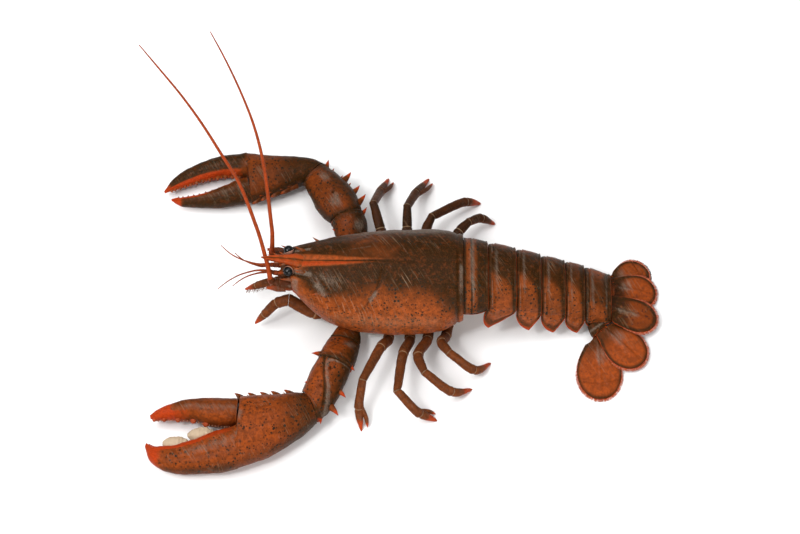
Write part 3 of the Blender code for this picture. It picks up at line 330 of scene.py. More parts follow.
# Feelers: x, y, z, half width, half depth.
ANTENNULE_LEFT = (
    (-89.8, -3.6, 58.5, 2.2, 2.2), (-97.9, -3.6, 61.5, 1.6, 1.6),
    (-106.0, -3.8, 64.0, 0.8, 0.8), (-116.9, -5.9, 63.0, 0.6, 0.6),
    (-126.9, -9.5, 60.0, 0.5, 0.5), (-136.5, -15.3, 56.0, 0.3, 0.3),
)
ANTENNULE_RIGHT = (
    (-89.8, 3.6, 58.5, 2.2, 2.2), (-97.9, 2.2, 61.5, 1.6, 1.6),
    (-106.0, 1.4, 64.0, 0.8, 0.8), (-115.1, 2.8, 66.0, 0.6, 0.6),
    (-126.1, 7.4, 68.0, 0.5, 0.5), (-134.3, 14.1, 70.0, 0.3, 0.3),
)
ANTENNULE_INNER_SHARE = 0.72
ANTENNULE_INNER_DROP = 3.2
ANTENNA_FOOT_LEFT = (
    (-82.3, -12.4, 57.0, 4.6, 4.8), (-90.0, -11.6, 57.0, 4.4, 4.4),
    (-95.2, -10.9, 58.0, 3.2, 3.2), (-97.2, -9.4, 61.5, 2.4, 2.4),
)
ANTENNA_FOOT_RIGHT = (
    (-82.3, 12.4, 57.0, 4.6, 4.8), (-90.0, 11.8, 57.0, 4.4, 4.4),
    (-95.2, 11.2, 58.5, 3.2, 3.2), (-96.4, 12.6, 62.5, 2.4, 2.4),
)
ANTENNA_SCALE = (
    (-86.0, 15.4, 57.0, 3.0, 1.3), (-91.5, 16.0, 58.2, 3.0, 1.1),
    (-96.0, 16.2, 59.0, 1.8, 0.9), (-100.0, 15.8, 59.6, 0.5, 0.5),
)
ANTENNA_LEFT = (
    (-97.2, -9.4, 61.5, 2.0, 2.0), (-98.6, -4.0, 68.5, 1.75, 1.75),
    (-101.0, 3.0, 76.0, 1.6, 1.6), (-104.4, 13.1, 84.0, 1.5, 1.5),
    (-108.9, 23.7, 92.0, 1.45, 1.45), (-120.3, 48.3, 106.0, 1.3, 1.3),
    (-132.7, 66.2, 115.0, 1.2, 1.2), (-148.0, 88.5, 124.0, 1.05, 1.05),
    (-163.4, 108.6, 131.0, 0.9, 0.9), (-180.9, 129.6, 136.0, 0.7, 0.7),
    (-195.7, 147.2, 140.0, 0.4, 0.4),
)
ANTENNA_RIGHT = (
    (-96.4, 12.6, 62.5, 2.0, 2.0), (-95.8, 15.5, 70.0, 1.75, 1.75),
    (-95.6, 19.8, 78.0, 1.6, 1.6), (-96.7, 27.8, 88.0, 1.5, 1.5),
    (-98.3, 39.5, 98.5, 1.4, 1.4), (-100.3, 52.7, 108.0, 1.3, 1.3),
    (-104.1, 70.5, 117.0, 1.2, 1.2), (-109.9, 89.0, 125.0, 1.05, 1.05),
    (-116.7, 105.9, 130.0, 0.9, 0.9), (-124.6, 123.5, 134.0, 0.8, 0.8),
    (-133.5, 141.8, 137.0, 0.65, 0.65), (-142.7, 159.5, 139.0, 0.4, 0.4),
)

# Tail fan. Each base is a path of x, y, z, half width, half depth, and its two blades
# leave its end side by side. Blade: tip x, y and z, half width at its widest, and the
# width of its root as a share of that.
UROPOD_BASE_LEFT = (
    (147.0, -20.5, 10.0, 5.0, 4.6), (150.0, -24.6, 8.2, 6.6, 4.6),
    (152.3, -27.4, 7.0, 7.4, 4.2),
)
UROPOD_BASE_RIGHT = (
    (154.0, 12.0, 8.6, 4.5, 4.0), (159.0, 14.0, 8.0, 6.2, 4.2),
    (162.6, 14.4, 7.2, 7.2, 4.0),
)
UROPOD_INNER_LEFT = (184.2, -52.0, 3.5, 15.4, 0.52)
UROPOD_OUTER_LEFT = (152.0, -80.8, 0.4, 17.0, 0.3)
UROPOD_INNER_RIGHT = (196.0, 6.5, 3.5, 14.0, 0.55)
UROPOD_OUTER_RIGHT = (191.0, 29.0, 0.4, 13.0, 0.3)
INNER_ROOT_RISE = 1.6
OUTER_ROOT_RISE = -1.4
ROOT_SHIFT = 3.7
TELSON_ROOT = (161.15, -9.5, 13.4)
TELSON = (195.5, -18.0, 6.8, 13.6, 0.8)
BLADE_HALF_THICKNESS = 0.62
ROOT_HALF_THICKNESS = 1.25
BLADE_WIDEST = 0.56

# Fineness of the scene's meshes
TOOTH_COUNT = 12
ARCH_FINE = 62
FLANK_FINE = 36
CARAPACE_SPACING = 0.7
ABDOMEN_ARCH = 56
ABDOMEN_PLATE = 16
ABDOMEN_SPACING = 0.42
CREASE_ANGLE = 50
FLOOR_GAP = 0.02
HAIR_PATCH = 0.003
HAIR_FLOOR_GAP = 0.08
MOUTH_HAIR_SPACING = 0.16
SWIMMERET_HAIRS = 150
FRINGE_HAIRS = 1000
BLADE_RINGS = 90
BLADE_HALF_RING = 60
SEAM_SPINES = 18
# Distance between a part's rings, and the points round each ring.
TUBES = {
    "rostrum": (0.4, 64), "eye_stalk": (0.4, 32), "mandible": (0.4, 48), "leg": (0.5, 40),
    "pincer": (0.5, 28), "arm": (0.5, 110), "claw": (0.6, 120), "molar": (0.3, 72),
    "antenna_foot": (0.35, 56),
    "antenna_scale": (0.4, 40), "antenna_whip": (0.2, 16), "antennule": (0.18, 20),
    "maxilliped": (0.4, 44), "swimmeret": (0.5, 36), "uropod_foot": (0.35, 64),
    "tail_joint": (0.35, 40),
}

# Carapace's relief. Places are x and the distance round the section from the back's
# middle line. A line has two ends, and the flank's grooves add their height and width.
BAND_WIDTH = 5.2
NECK_PLACE = -12.0
NECK_BOW = 0.011
COLLAR_FROM = 43.6
FLANK_GROOVES = (((-52, 43), (-30, 36), -0.7, 1.3), ((-30, 36), (-24, 26), -0.5, 1.2))
EYE_GROOVE = ((-79.5, 10.9), (-67.5, 13.6))
EYE_RIDGE = ((-80.5, 8.6), (-68.0, 11.2))
# Line under the near temple, painted dark as a shade line.
BROW = ((-58, 17), (-53, 23))
# Painted highlight lines: two ends, strength, width.
NEAR_GLINTS = (((-18, 25), (-22, 31), 0.9, 1.8), ((-62, 20), (-57, 27), 0.7, 2.2))
FAR_GLINT = ((-38, 10), (-22, 13), 0.5, 0.8)
# Patches of pale scratches, partly wear and partly painted highlight hatching: strength, middle x
# and its reach, middle place and its reach.
NEAR_SCRATCHES_AND_HIGHLIGHTS = ((1.0, 6, 12, 15, 6), (0.6, -50, 14, 16, 8), (0.6, 36, 10, 52, 8))
FAR_SCRATCH_AND_HIGHLIGHT = (0.8, 5, 30, 20, 10)
# Seams of the breast plate as x, thorns as shares along the right carpus, and joints as
# distances along an antennule.
STERNUM_SEAMS = (-26.0, -14.5, -1.5, 13.5, 28.0)
CARPUS_THORNS = (0.3, 0.48, 0.66, 0.84)
# Where the fingers' colours start, as x.
CRUSHER_FINGER_FROM = -119.5
CRUSHER_DACTYL_FROM = -110.0
CUTTER_FINGER_FROM = -118.0
CUTTER_DACTYL_FROM = -108.0
# Length of one ring of a feeler.
ANTENNA_RING = 0.82
ANTENNULE_RING = 0.7
# Cross seam of the outer blades, as a share of the way to the tip.
SEAM_PLACE = 0.74
ANTENNULE_JOINTS = (4.6, 8.2, 10.9)
# Furrow on top of the left carpus: places along it and across it, 30 long and 28 wide.
CARPUS_FURROWS = {"left": ((1.0, 8.0), (25.0, -9.0))}
# Greyish shines on the arms: share along, place across, size.
ARM_SHINES = {
    "cheliped_right_carpus": ((0.2, -0.2, 0.3), (0.72, 0.1, 0.3)),
    "cheliped_right_merus": ((0.6, 0.5, 0.4),),
    "cheliped_left_merus": ((0.35, -0.45, 0.4),),
}
# Colours of the painted highlights, deep and light.
HIGHLIGHT_DEEP = (0.075, 0.055, 0.04)
HIGHLIGHT_LIGHT = (0.23, 0.175, 0.135)
SHELL_SPECULAR = 0.05
# Skins: light, deep, dark, red, pale and spot colours, roughness, scale of the spots.
SKINS = {
    "shell_skin": (
        (0.32, 0.066, 0.012), (0.15, 0.034, 0.007), (0.028, 0.0118, 0.0022),
        (0.41, 0.045, 0.007), (0.42, 0.28, 0.17), (0.01, 0.012, 0.008), 0.3, 0.4,
    ),
    "claw_skin": (
        (0.265, 0.05, 0.007), (0.13, 0.027, 0.005), (0.031, 0.0132, 0.0028),
        (0.42, 0.042, 0.006), (0.45, 0.35, 0.24), (0.009, 0.01, 0.006), 0.3, 0.4,
    ),
    "leg_skin": (
        (0.18, 0.046, 0.011), (0.09, 0.024, 0.007), (0.026, 0.011, 0.004),
        (0.4, 0.05, 0.01), (0.42, 0.28, 0.16), (0.015, 0.01, 0.01), 0.33, 0.6,
    ),
    "tail_skin": (
        (0.295, 0.053, 0.007), (0.175, 0.034, 0.006), (0.03, 0.013, 0.003),
        (0.47, 0.055, 0.01), (0.4, 0.27, 0.16), (0.03, 0.012, 0.01), 0.34, 0.5,
    ),
    "feeler_skin": (
        (0.3, 0.052, 0.01), (0.15, 0.027, 0.007), (0.03, 0.012, 0.004),
        (0.36, 0.05, 0.01), (0.46, 0.33, 0.2), (0.03, 0.014, 0.01), 0.36, 0.9,
    ),
}
RED_HAIR = ((0.42, 0.06, 0.018), (0.62, 0.17, 0.07))
BROWN_HAIR = ((0.1, 0.03, 0.012), (0.22, 0.08, 0.035))
EYE_BLACK = (0.002, 0.002, 0.002)
EYE_RIM = (0.33, 0.16, 0.11)
EYE_STALK = (0.13, 0.045, 0.02)
FLOOR_TONES = ((0.87, 0.87, 0.87), (0.9, 0.9, 0.9))

# Soft skin between the last segment, the telson and the right uropod.
TAIL_JOINT_SKIN = (
    (162.3, -1.0, 11.4, 0.9, 1.6), (162.5, 4.0, 11.4, 1.6, 2.2), (163.0, 9.6, 9.0, 1.2, 1.8),
)

# Camera and lamps, in metres
CAMERA_ELEVATION = 62.0
CAMERA_HEIGHT = 62.0
CAMERA_DISTANCE = 2.5
CAMERA_LENS = 150
CAMERA_SENSOR = 36
FLOOR_REACH = 30.0
FLOOR_CORNERS = ((-1, -1), (1, -1), (1, 1), (-1, 1))
LAMP_AIM = (0, 0, 0.04)
WORLD_STRENGTH = 0.35
LAMPS = (
    ("key", (-1.1, -0.3, 1.7), 1.2, 27.0),
    ("fill", (0.6, -1.7, 0.9), 1.4, 22.0),
    ("top", (0.1, 0.5, 2.1), 1.6, 21.0),
    ("sparkle", (-0.75, -0.6, 1.6), 0.22, 8.0),
)


# Curves and rings
def unit(vector):
    vector = np.asarray(vector, float)
    return vector / np.linalg.norm(vector)


def units(vectors):
    return vectors / np.maximum(np.linalg.norm(vectors, axis=-1, keepdims=True), 1e-9)


def smooth(low, high, value):
    """0 below the low value, 1 above the high one, eased between."""
    share = np.clip((np.asarray(value, float) - low) / (high - low), 0, 1)
    return share * share * (3 - 2 * share)


def bell(value, width):
    return np.exp(-((np.asarray(value, float) / width) ** 2))


def plateau(value, rise_from, rise_to, fall_from, fall_to):
    """1 between the middle two places, eased to 0 at the outer two."""
    return smooth(rise_from, rise_to, value) * smooth(fall_to, fall_from, value)


def refine(rows, steps):
    """The rows, made finer by a smooth curve that never overshoots them."""
    rows = np.asarray(rows, float)
    rises = np.diff(rows, axis=0)
    same_way = rises[:-1] * rises[1:] > 0
    total = np.where(same_way, rises[:-1] + rises[1:], 1.0)
    inner = np.where(same_way, 2 * rises[:-1] * rises[1:] / total, 0.0)
    slopes = np.vstack([rises[:1], inner, rises[-1:]])
    share = np.linspace(0, 1, steps, endpoint=False)[:, None]
    start = 2 * share**3 - 3 * share**2 + 1
    leave = share**3 - 2 * share**2 + share
    arrive = share**3 - share**2
    finer = [
        start * rows[k] + (1 - start) * rows[k + 1]
        + leave * slopes[k] + arrive * slopes[k + 1]
        for k in range(len(rises))
    ]
    return np.vstack([*finer, rows[-1:]])


def run_of(points):
    """Distance along a line of points."""
    steps = np.linalg.norm(np.diff(points, axis=0), axis=1)
    return np.concatenate([[0.0], np.cumsum(steps)])


def even(rows, spacing, path=None):
    """Rows about the spacing apart on the smooth curve, with their run in millimetres."""
    fine = refine(rows, 24)
    run = run_of(fine[:, :3] if path is None else path(fine))
    count = max(4, int(round(run[-1] / spacing)) + 1)
    at = np.linspace(0, run[-1], count)
    return np.stack([np.interp(at, run, column) for column in fine.T], axis=1), at


def joint_runs(rows):
    """Run of each given row along the smooth curve."""
    run = run_of(refine(rows, 24)[:, :3])
    return run[::24]


def oval(sides, power=2.0):
    angles = np.arange(sides) * 2 * math.pi / sides
    around = np.stack([np.cos(angles), np.sin(angles)], axis=1)
    return np.sign(around) * np.abs(around) ** (2 / power)


def rings_about(centres, widths, across, rise, sides):
    """Round rings of the widths about the centres."""
    around = oval(sides)
    lines = around[None, :, :1] * across + around[None, :, 1:] * rise
    return centres + widths[:, None, None] * lines


def drawn(grid, scale):
    """Each ring scaled about its own middle."""
    middle = grid.mean(axis=1, keepdims=True)
    return middle + (grid - middle) * scale[:, None, None]


def upness(grid):
    """How far each point faces up from its ring's middle."""
    return units(grid - grid.mean(axis=1, keepdims=True))[..., 2]


def share_of(run):
    """Share of the way along, as a column."""
    return (run / run[-1])[:, None]


def outward(grid):
    """Unit directions out of a grid of rings."""
    along = np.gradient(grid, axis=0)
    around = np.roll(grid, -1, axis=1) - np.roll(grid, 1, axis=1)
    out = units(np.cross(around, along))
    middle = grid.mean(axis=1, keepdims=True)
    if np.sum(out * (grid - middle)) < 0:
        out = -out
    return out


def swell(grid, height):
    """The grid raised out of its own skin by the height."""
    return grid + outward(grid) * height[..., None]


def above_floor(grid):
    grid[..., 2] = np.maximum(grid[..., 2], FLOOR_GAP)
    return grid


def closed(right):
    """Whole section from its right half, whose first column is y."""
    left = right[-2:0:-1].copy()
    left[:, 0] *= -1
    return np.vstack([right, left])


def girth(grid):
    """Distance round each ring from its first point, and the shorter way round."""
    side = np.linalg.norm(np.roll(grid, 1, axis=1) - grid, axis=2)
    side[:, 0] = 0
    run = np.cumsum(side, axis=1)
    return run, np.minimum(run, run[:, -1:] + side[:, 1:2] - run)


def ring_index(grid):
    """Points between each point and its ring's first one, the shorter way round."""
    number = np.arange(grid.shape[1])
    return np.minimum(number, grid.shape[1] - number)


def waves(points, size, offset=0.0):
    """Smooth noise at the points, with features of the given size."""
    flat = points.reshape(-1, 3) / size + offset
    values = [noise.noise(Vector(point)) for point in flat.tolist()]
    return np.array(values).reshape(points.shape[:-1])


def tube_grid(rows, spacing, sides, power=2.0, start=None, end=None, gaps=(0, 0), turn=9.0):
    """Rings along a path of x, y, z, half width, half depth, and each ring's run.

    The start and the end are the directions that the end rings face.
    """
    rows, run = even(rows, spacing)
    path = rows[:, :3].copy()
    ahead = units(np.gradient(path, axis=0))
    reach = min(turn, run[-1] * 0.45)
    for way, distance in ((start, run), (end, run[-1] - run)):
        if way is not None:
            share = np.clip(1 - distance / reach, 0, 1)[:, None] ** 1.5
            ahead = units(ahead * (1 - share) + unit(way) * share)
    path[0] += ahead[0] * gaps[0]
    path[-1] -= ahead[-1] * gaps[1]
    across = units(np.cross(ahead, (0, 0, 1)))
    rise = units(np.cross(across, ahead))
    around = oval(sides, power)
    grid = (
        path[:, None]
        + around[None, :, :1] * across[:, None] * rows[:, None, 3:4]
        + around[None, :, 1:] * rise[:, None] * rows[:, None, 4:5]
    )
    return grid, run


class Form:
    """Points, faces and surface marks gathered for one mesh."""

    def __init__(self, grid=None, **marks):
        self.points = []
        self.faces = []
        self.marks = {mark: [] for mark in MARKS}
        self.count = 0
        if grid is not None:
            self.add_grid(grid, **marks)

    def add(self, points, faces, **marks):
        points = np.asarray(points, float)
        self.points.append(points)
        self.faces += [tuple(corner + self.count for corner in face) for face in faces]
        for mark in MARKS:
            self.marks[mark].append(marks[mark])
        self.count += len(points)

    def add_grid(self, grid, **marks):
        """Rings joined by faces, each end closed by a fan round its middle."""
        count, sides = grid.shape[:2]
        points = [grid.reshape(-1, 3)]
        low = np.arange(count - 1)[:, None] * sides + np.arange(sides)
        after = np.arange(count - 1)[:, None] * sides + (np.arange(sides) + 1) % sides
        faces = np.stack([low, after, after + sides, low + sides], axis=2)
        faces = faces.reshape(-1, 4).tolist()
        values = {
            mark: [np.broadcast_to(np.asarray(marks.get(mark, 0.0), float), (count, sides)).ravel()]
            for mark in MARKS
        }
        total = count * sides
        for ring in (0, count - 1):
            points.append(grid[ring].mean(axis=0)[None])
            base = ring * sides
            faces += [
                (base + side, base + (side + 1) % sides, total) for side in range(sides)
            ]
            for mark in MARKS:
                values[mark].append(values[mark][0][base : base + 1])
            total += 1
        self.add(
            np.vstack(points), faces,
            **{mark: np.concatenate(values[mark]) for mark in MARKS},
        )


def finish_piece(obj, nodes):
    bpy.context.scene.collection.objects.link(obj)
    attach(obj, "root")
    if nodes:
        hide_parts(*nodes)


def make_piece(name, form, material, nodes):
    """Object of the form's mesh, with its marks as attributes."""
    points = np.vstack(form.points)
    moved = (points - (CENTRE_X, CENTRE_Y, 0)) * METRES
    mesh = bpy.data.meshes.new(name)
    mesh.from_pydata(moved.tolist(), [], form.faces)
    for mark in MARKS:
        attribute = mesh.attributes.new(mark, "FLOAT", "POINT")
        attribute.data.foreach_set(
            "value", np.concatenate(form.marks[mark]).astype(np.float32)
        )
    shape = bmesh.new()
    shape.from_mesh(mesh)
    bmesh.ops.recalc_face_normals(shape, faces=shape.faces)
    shape.to_mesh(mesh)
    shape.free()
    mesh.shade_smooth()
    mesh.set_sharp_from_angle(angle=math.radians(CREASE_ANGLE))
    mesh.materials.append(material)
    finish_piece(bpy.data.objects.new(name, mesh), nodes)


def thorn(
    form, root, tip, radius, sides=14, flare=0.45, red=1.0, dark=0.0, grey=0.0,
    sink=None, hook=None,
):
    """Spine with a flared root and a slightly rounded tip.

    The sink is a place inside the body, toward which the root is drawn. The hook is
    how far the spine's middle lies off the straight line from root to tip.
    """
    root = np.asarray(root, float)
    tip = np.asarray(tip, float)
    if sink is not None:
        root = root + unit(np.asarray(sink, float) - root) * radius * 0.9
    way = tip - root
    across = unit(np.cross(way, (0.3, 0.2, 1)))
    rise = unit(np.cross(across, way))
    shares = np.array([-0.22, -0.05, 0.06, 0.18, 0.34, 0.52, 0.7, 0.85, 0.95, 1.0])
    width = (1 - np.clip(shares, 0, 1)) ** 0.9 + flare * np.exp(-(shares + 0.22) / 0.14)
    width[-1] = 0.03
    grid = rings_about(root + shares[:, None, None] * way, radius * width, across, rise, sides)
    if hook is not None:
        bow = 4 * shares * (1 - shares)
        grid = grid + bow[:, None, None] * np.asarray(hook, float)
    share = shares[:, None]
    form.add_grid(
        grid, red=red * smooth(0.1, 0.75, share), dark=dark * smooth(0.8, 0.2, share),
        grey=grey * bell(share - 0.5, 0.3),
    )


def dome(form, centre, radius, way=(0, 0, 1), squash=1.0, sides=14, **marks):
    """Rounded knob, longest along its way when squash is over one."""
    way = unit(way)
    across = unit(np.cross(way, (0.31, 0.2, 0.93)))
    rise = np.cross(across, way)
    leans = np.linspace(0.03, math.pi - 0.03, 9)
    centres = np.asarray(centre, float) + radius * squash * np.cos(leans)[:, None, None] * way
    form.add_grid(rings_about(centres, radius * np.sin(leans), across, rise, sides), **marks)


def hair_piece(name, roots, ways, lengths, radius, places, material, droop=0.25):
    """Solid tapered hairs as one mesh, each mapped to a small patch at its root."""
    roots = np.asarray(roots, float)
    ways = units(np.asarray(ways, float))
    lengths = np.asarray(lengths, float)[:, None]
    across = units(np.cross(ways, (0.02, 0.03, 1.0)))
    rise = units(np.cross(across, ways))
    fall = np.array([0, 0, 1]) * lengths * droop
    rings = []
    for share, width in ((-0.06, 1.0), (0.5, 0.75)):
        centre = roots + ways * lengths * share - fall * share**2
        for turn in (0.5, 2.6, 4.7):
            rings.append(
                centre + radius * width * (math.cos(turn) * across + math.sin(turn) * rise)
            )
    tips = roots + ways * lengths - fall
    points = np.stack([*rings, tips], axis=1)
    points[..., 2] = np.maximum(points[..., 2], HAIR_FLOOR_GAP)
    pattern = (
        (0, 2, 1), (0, 1, 4, 3), (1, 2, 5, 4), (2, 0, 3, 5), (3, 4, 6), (4, 5, 6), (5, 3, 6),
    )
    faces = []
    for hair in range(len(roots)):
        base = hair * 7
        faces += [tuple(base + corner for corner in face) for face in pattern]
    mesh = bpy.data.meshes.new(name)
    moved = (points.reshape(-1, 3) - (CENTRE_X, CENTRE_Y, 0)) * METRES
    mesh.from_pydata(moved.tolist(), [], faces)
    mesh.shade_smooth()
    layer = mesh.uv_layers.new(name="OFBake")
    patch = np.array(
        [(-1, -1), (0, -1), (1, -1), (-1, 0.3), (0, 0.3), (1, 0.3), (0, 1)]
    ) * HAIR_PATCH / 2
    spread = (np.asarray(places, float)[:, None] + patch[None]).reshape(-1, 2)
    corners = np.zeros(len(mesh.loops), np.int32)
    mesh.loops.foreach_get("vertex_index", corners)
    layer.data.foreach_set("uv", spread[corners].astype(np.float32).ravel())
    mesh.materials.append(material)
    finish_piece(bpy.data.objects.new(name, mesh), ())


# Body
def mirror(point):
    return (point[0], -point[1], point[2])


def half_profile(row):
    """Right half of a carapace section, from the middle of the back to the belly."""
    _, half, top, middle, edge = row
    angle = np.linspace(0, math.pi / 2, ARCH_FINE)
    arch = np.stack(
        [
            half * np.sin(angle) ** (2 / UPPER_POWER),
            middle + (top - middle) * np.maximum(np.cos(angle), 0) ** (2 / UPPER_POWER),
        ],
        axis=1,
    )
    reach = (middle - edge) * LOWER_REACH
    drop = np.linspace(0, middle - edge, FLANK_FINE)[1:]
    flank = np.stack(
        [half * (1 - (drop / reach) ** LOWER_POWER) ** (1 / LOWER_POWER), middle - drop],
        axis=1,
    )
    turn = np.linspace(0, math.pi, 7)[1:]
    lip = np.stack(
        [
            flank[-1, 0] - LIP_WIDTH / 2 * (1 - np.cos(turn)),
            edge - 0.45 * np.sin(turn) + LIP_RISE * turn / math.pi,
        ],
        axis=1,
    )
    share = np.linspace(0, 1, 9)[1:, None]
    under = lip[-1] * (1 - share) + np.array([0, edge + LIP_RISE]) * share
    return np.vstack([arch, flank, lip, under])


def line_distance(x, s, first, last):
    """Distance of the surface places from the line between two of them."""
    step = np.subtract(last, first).astype(float)
    share = ((x - first[0]) * step[0] + (s - first[1]) * step[1]) / (step @ step)
    near = np.clip(share, 0, 1)
    return np.hypot(x - first[0] - near * step[0], s - first[1] - near * step[1])


def line_bell(x, s, first, last, strength, width):
    """The strength along a line on the surface, falling off to both its sides."""
    return strength * bell(line_distance(x, s, first, last), width)


def patch_bell(x, s, strength, middle_x, reach_x, middle_s, reach_s):
    """The strength at a place on the surface, falling off round it."""
    return strength * bell(x - middle_x, reach_x) * bell(s - middle_s, reach_s)


def carapace_relief(grid, x, s, edge_gap):
    """Height of the carapace's relief, its neck groove and the band along its back."""
    width = BAND_WIDTH * smooth(-4, -24, x) ** 0.5 * (0.45 + 0.55 * smooth(-20, -74, x))
    band = smooth(0.2, 1.1, s) * smooth(width + 1.2, width - 1.2, s)
    band = band * smooth(-6, -16, x)
    height = 0.6 * bell(s - 0.55 * width - 0.4, 1.3) * smooth(-8, -24, x)
    height -= 0.4 * bell(s, 0.55) * smooth(-79, -72, x)
    neck = NECK_PLACE - NECK_BOW * s**2 + 0.8 * waves(grid, 18.0)
    groove = bell(x - neck, 1.25) * plateau(s, 1.5, 6, 38, 52)
    height -= 0.75 * groove * np.where(grid[..., 1] > 0, 0.5, 1.0)
    height += 0.3 * bell(x - neck - 3.0, 2.2) * plateau(s, 3, 9, 36, 50)
    for line in (*FLANK_GROOVES, (*EYE_GROOVE, -1.0, 0.9), (*EYE_RIDGE, 0.5, 0.9)):
        height += line_bell(x, s, *line)
    height += 0.55 * smooth(COLLAR_FROM, COLLAR_FROM + 1.0, x)
    height -= 0.6 * bell(x - COLLAR_FROM + 0.4, 0.7) + 0.2 * smooth(46.9, 47.5, x)
    height += 0.35 * bell(edge_gap - 0.6, 0.9) - 0.35 * bell(edge_gap - 2.6, 0.8)
    height += 0.3 * bell(x + 80.2, 0.8) - 0.6 * smooth(-81.0, -82.0, x)
    height += 0.32 * waves(grid, 9.0) + 0.55 * waves(grid, 26.0, 7.0)
    return height, groove, band


def sink_orbits(grid):
    """Hollows for the eyes, each with a raised rim."""
    for _, turn in SIDES:
        x, y, z = np.array(EYE_PLACE) * (1, turn, 1)
        gap = np.hypot(grid[..., 0] - x, grid[..., 1] - y)
        floor = z - np.sqrt(np.maximum(ORBIT_RADIUS**2 - gap**2, 0))
        upper = grid[..., 2] > 55
        grid[..., 2] = np.where(
            (gap < ORBIT_RADIUS) & upper, np.minimum(grid[..., 2], floor), grid[..., 2]
        )
        grid[..., 2] += 0.55 * bell(gap - ORBIT_RADIUS - 0.5, 0.6) * upper


def carapace_marks(x, s, far, edge_gap, groove, band):
    """Marks of the carapace. Its far side is darker than the near one, as painted shade."""
    near = ~far
    rear_share = smooth(-80, -66, x) * (0.72 + 0.3 * smooth(-55, 15, x))
    reach = 38 + 12 * smooth(5, 42, x)
    near_dark = 1.1 * rear_share * (smooth(reach, 4, s) + 0.25 * smooth(52, 30, s))
    # The far side is darker: painted shade.
    far_dark = (0.78 + 0.32 * smooth(-20, 20, x)) * smooth(60, 32, s)
    temple = bell(np.hypot((x + 55) / 14.5, (s - 16.5 - 0.2 * (x + 56)) / 8.5), 1.0)
    # Painted shade: darker in the neck groove on the near side, along the groove behind each eye
    # and along the line under the near temple.
    dark = (
        np.where(far, far_dark, near_dark) + temple + 0.35 * groove * near
        + line_bell(x, s, *EYE_GROOVE, 1.3, 1.7) + line_bell(x, s, *BROW, 1.2, 1.0) * near
        + 0.5 * bell(x - 42.8, 1.6) + 0.25 * smooth(20, 40, x) * smooth(70, 30, s)
    )
    bright = 0.5 + 0.5 * smooth(-12, -44, x)
    collar = plateau(x, 43.8, 44.6, 46.6, 47.3) * plateau(s, -1, 6, 10, 46)
    return {
        "dark": np.clip(dark, 0, 1.3) * (1 - 0.85 * bright * np.clip(band, 0, 1)),
        "red": 0.62 * bright * band * np.where(far, 0.62, 1.0)
        + 0.42 * smooth(22, 1, edge_gap) * near + 0.3 * bell(x + 81, 5) * smooth(12, 20, s),
        "pale": 0.34 * bell(s - 50, 13) * plateau(x, -70, -45, 25, 44) * near,
        # Painted highlights: the collar, the temple, lines on both sides, round the eye and a band
        # high on the far side.
        "grey": 0.75 * collar * near
        + 0.56 * temple * near * (1 - line_bell(x, s, *BROW, 1.0, 1.2))
        + sum(line_bell(x, s, *glint) for glint in NEAR_GLINTS) * near
        + 0.9 * bell(x + 79.0, 3.0) * plateau(s, 12, 16, 26, 44)
        + line_bell(x, s, *EYE_RIDGE, 1.1, 1.8)
        + (
            line_bell(x, s, *FAR_GLINT)
            + 0.75 * plateau(s, 24, 36, 48, 62) * smooth(-66, -40, x)
        ) * far,
        "spots": smooth(6, 20, s) * smooth(0.2, 3, edge_gap) * smooth(-80, -60, x),
        "scratch": 0.9 * plateau(s, 24, 34, 52, 64) * bell(x + 40, 30) * near
        + sum(patch_bell(x, s, *patch) for patch in NEAR_SCRATCHES_AND_HIGHLIGHTS) * near
        + patch_bell(x, s, *FAR_SCRATCH_AND_HIGHLIGHT) * far,
    }


def build_carapace(material):
    rows, _ = even(CARAPACE, CARAPACE_SPACING, path=lambda fine: fine[:, :1])
    rings = []
    for row in rows:
        ring = closed(half_profile(row))
        rings.append(np.column_stack([np.full(len(ring), row[0]), ring]))
    grid = np.array(rings)
    x = grid[..., 0]
    run, s = girth(grid)
    shell_end = ARCH_FINE + FLANK_FINE - 2
    top = (ring_index(grid) <= shell_end).astype(float)
    edge_gap = run[:, shell_end][:, None] - s
    height, groove, band = carapace_relief(grid, x, s, edge_gap)
    grid = swell(grid, height * top)
    sink_orbits(grid)
    marks = carapace_marks(x, s, grid[..., 1] > 0, edge_gap, groove, band)
    pale = marks.pop("pale") + 0.5 * (1 - top)
    form = Form(grid, pale=pale, **{mark: value * top for mark, value in marks.items()})
    add_rostrum(form)
    for root, tip, radius in CARAPACE_SPINES:
        for ends in ((root, tip), (mirror(root), mirror(tip))):
            inside = (ends[0][0] + 6.0, ends[0][1] * 0.5, ends[0][2] - 12.0)
            thorn(form, *ends, radius, red=0.45, dark=0.6, grey=0.6, sink=inside)
    make_piece("shell_carapace", form, material, ("carapace",))


def add_rostrum(form):
    spacing, sides = TUBES["rostrum"]
    grid, run = tube_grid(ROSTRUM, spacing, sides)
    aside, up = oval(sides).T
    share = share_of(run)
    height = -1.0 * bell(aside, 0.3) * (up > 0) * (1 - smooth(0.75, 1, share))
    height = height + 0.4 * bell(np.abs(aside) - 0.6, 0.22) * (up > 0)
    height = height * (1 - 0.5 * share) * smooth(0.05, 0.25, share) + 0.1 * waves(grid, 3.0)
    grid = swell(grid, height)
    middle = grid.mean(axis=1, keepdims=True)[..., 1]
    root = smooth(0.3, 0.0, share)
    grid[..., 1] = middle + (grid[..., 1] - middle) * (1 - 0.3 * root)
    grid[..., 2] -= 2.1 * root
    beside = smooth(0.45, 0.05, share) * smooth(0.4, 0.75, np.abs(aside))
    form.add_grid(
        grid,
        red=0.55 * (1 - 0.5 * bell(aside, 0.2)) * (1 - 0.95 * beside),
        dark=0.8 * bell(aside, 0.16) * (up > 0) + 0.75 * smooth(0.72, 1, np.abs(aside))
        + 0.4 * smooth(0.5, 1, share) + 0.8 * beside,
        grey=0.4 * bell(np.abs(aside) - 0.72, 0.12) * (up > 0),
    )


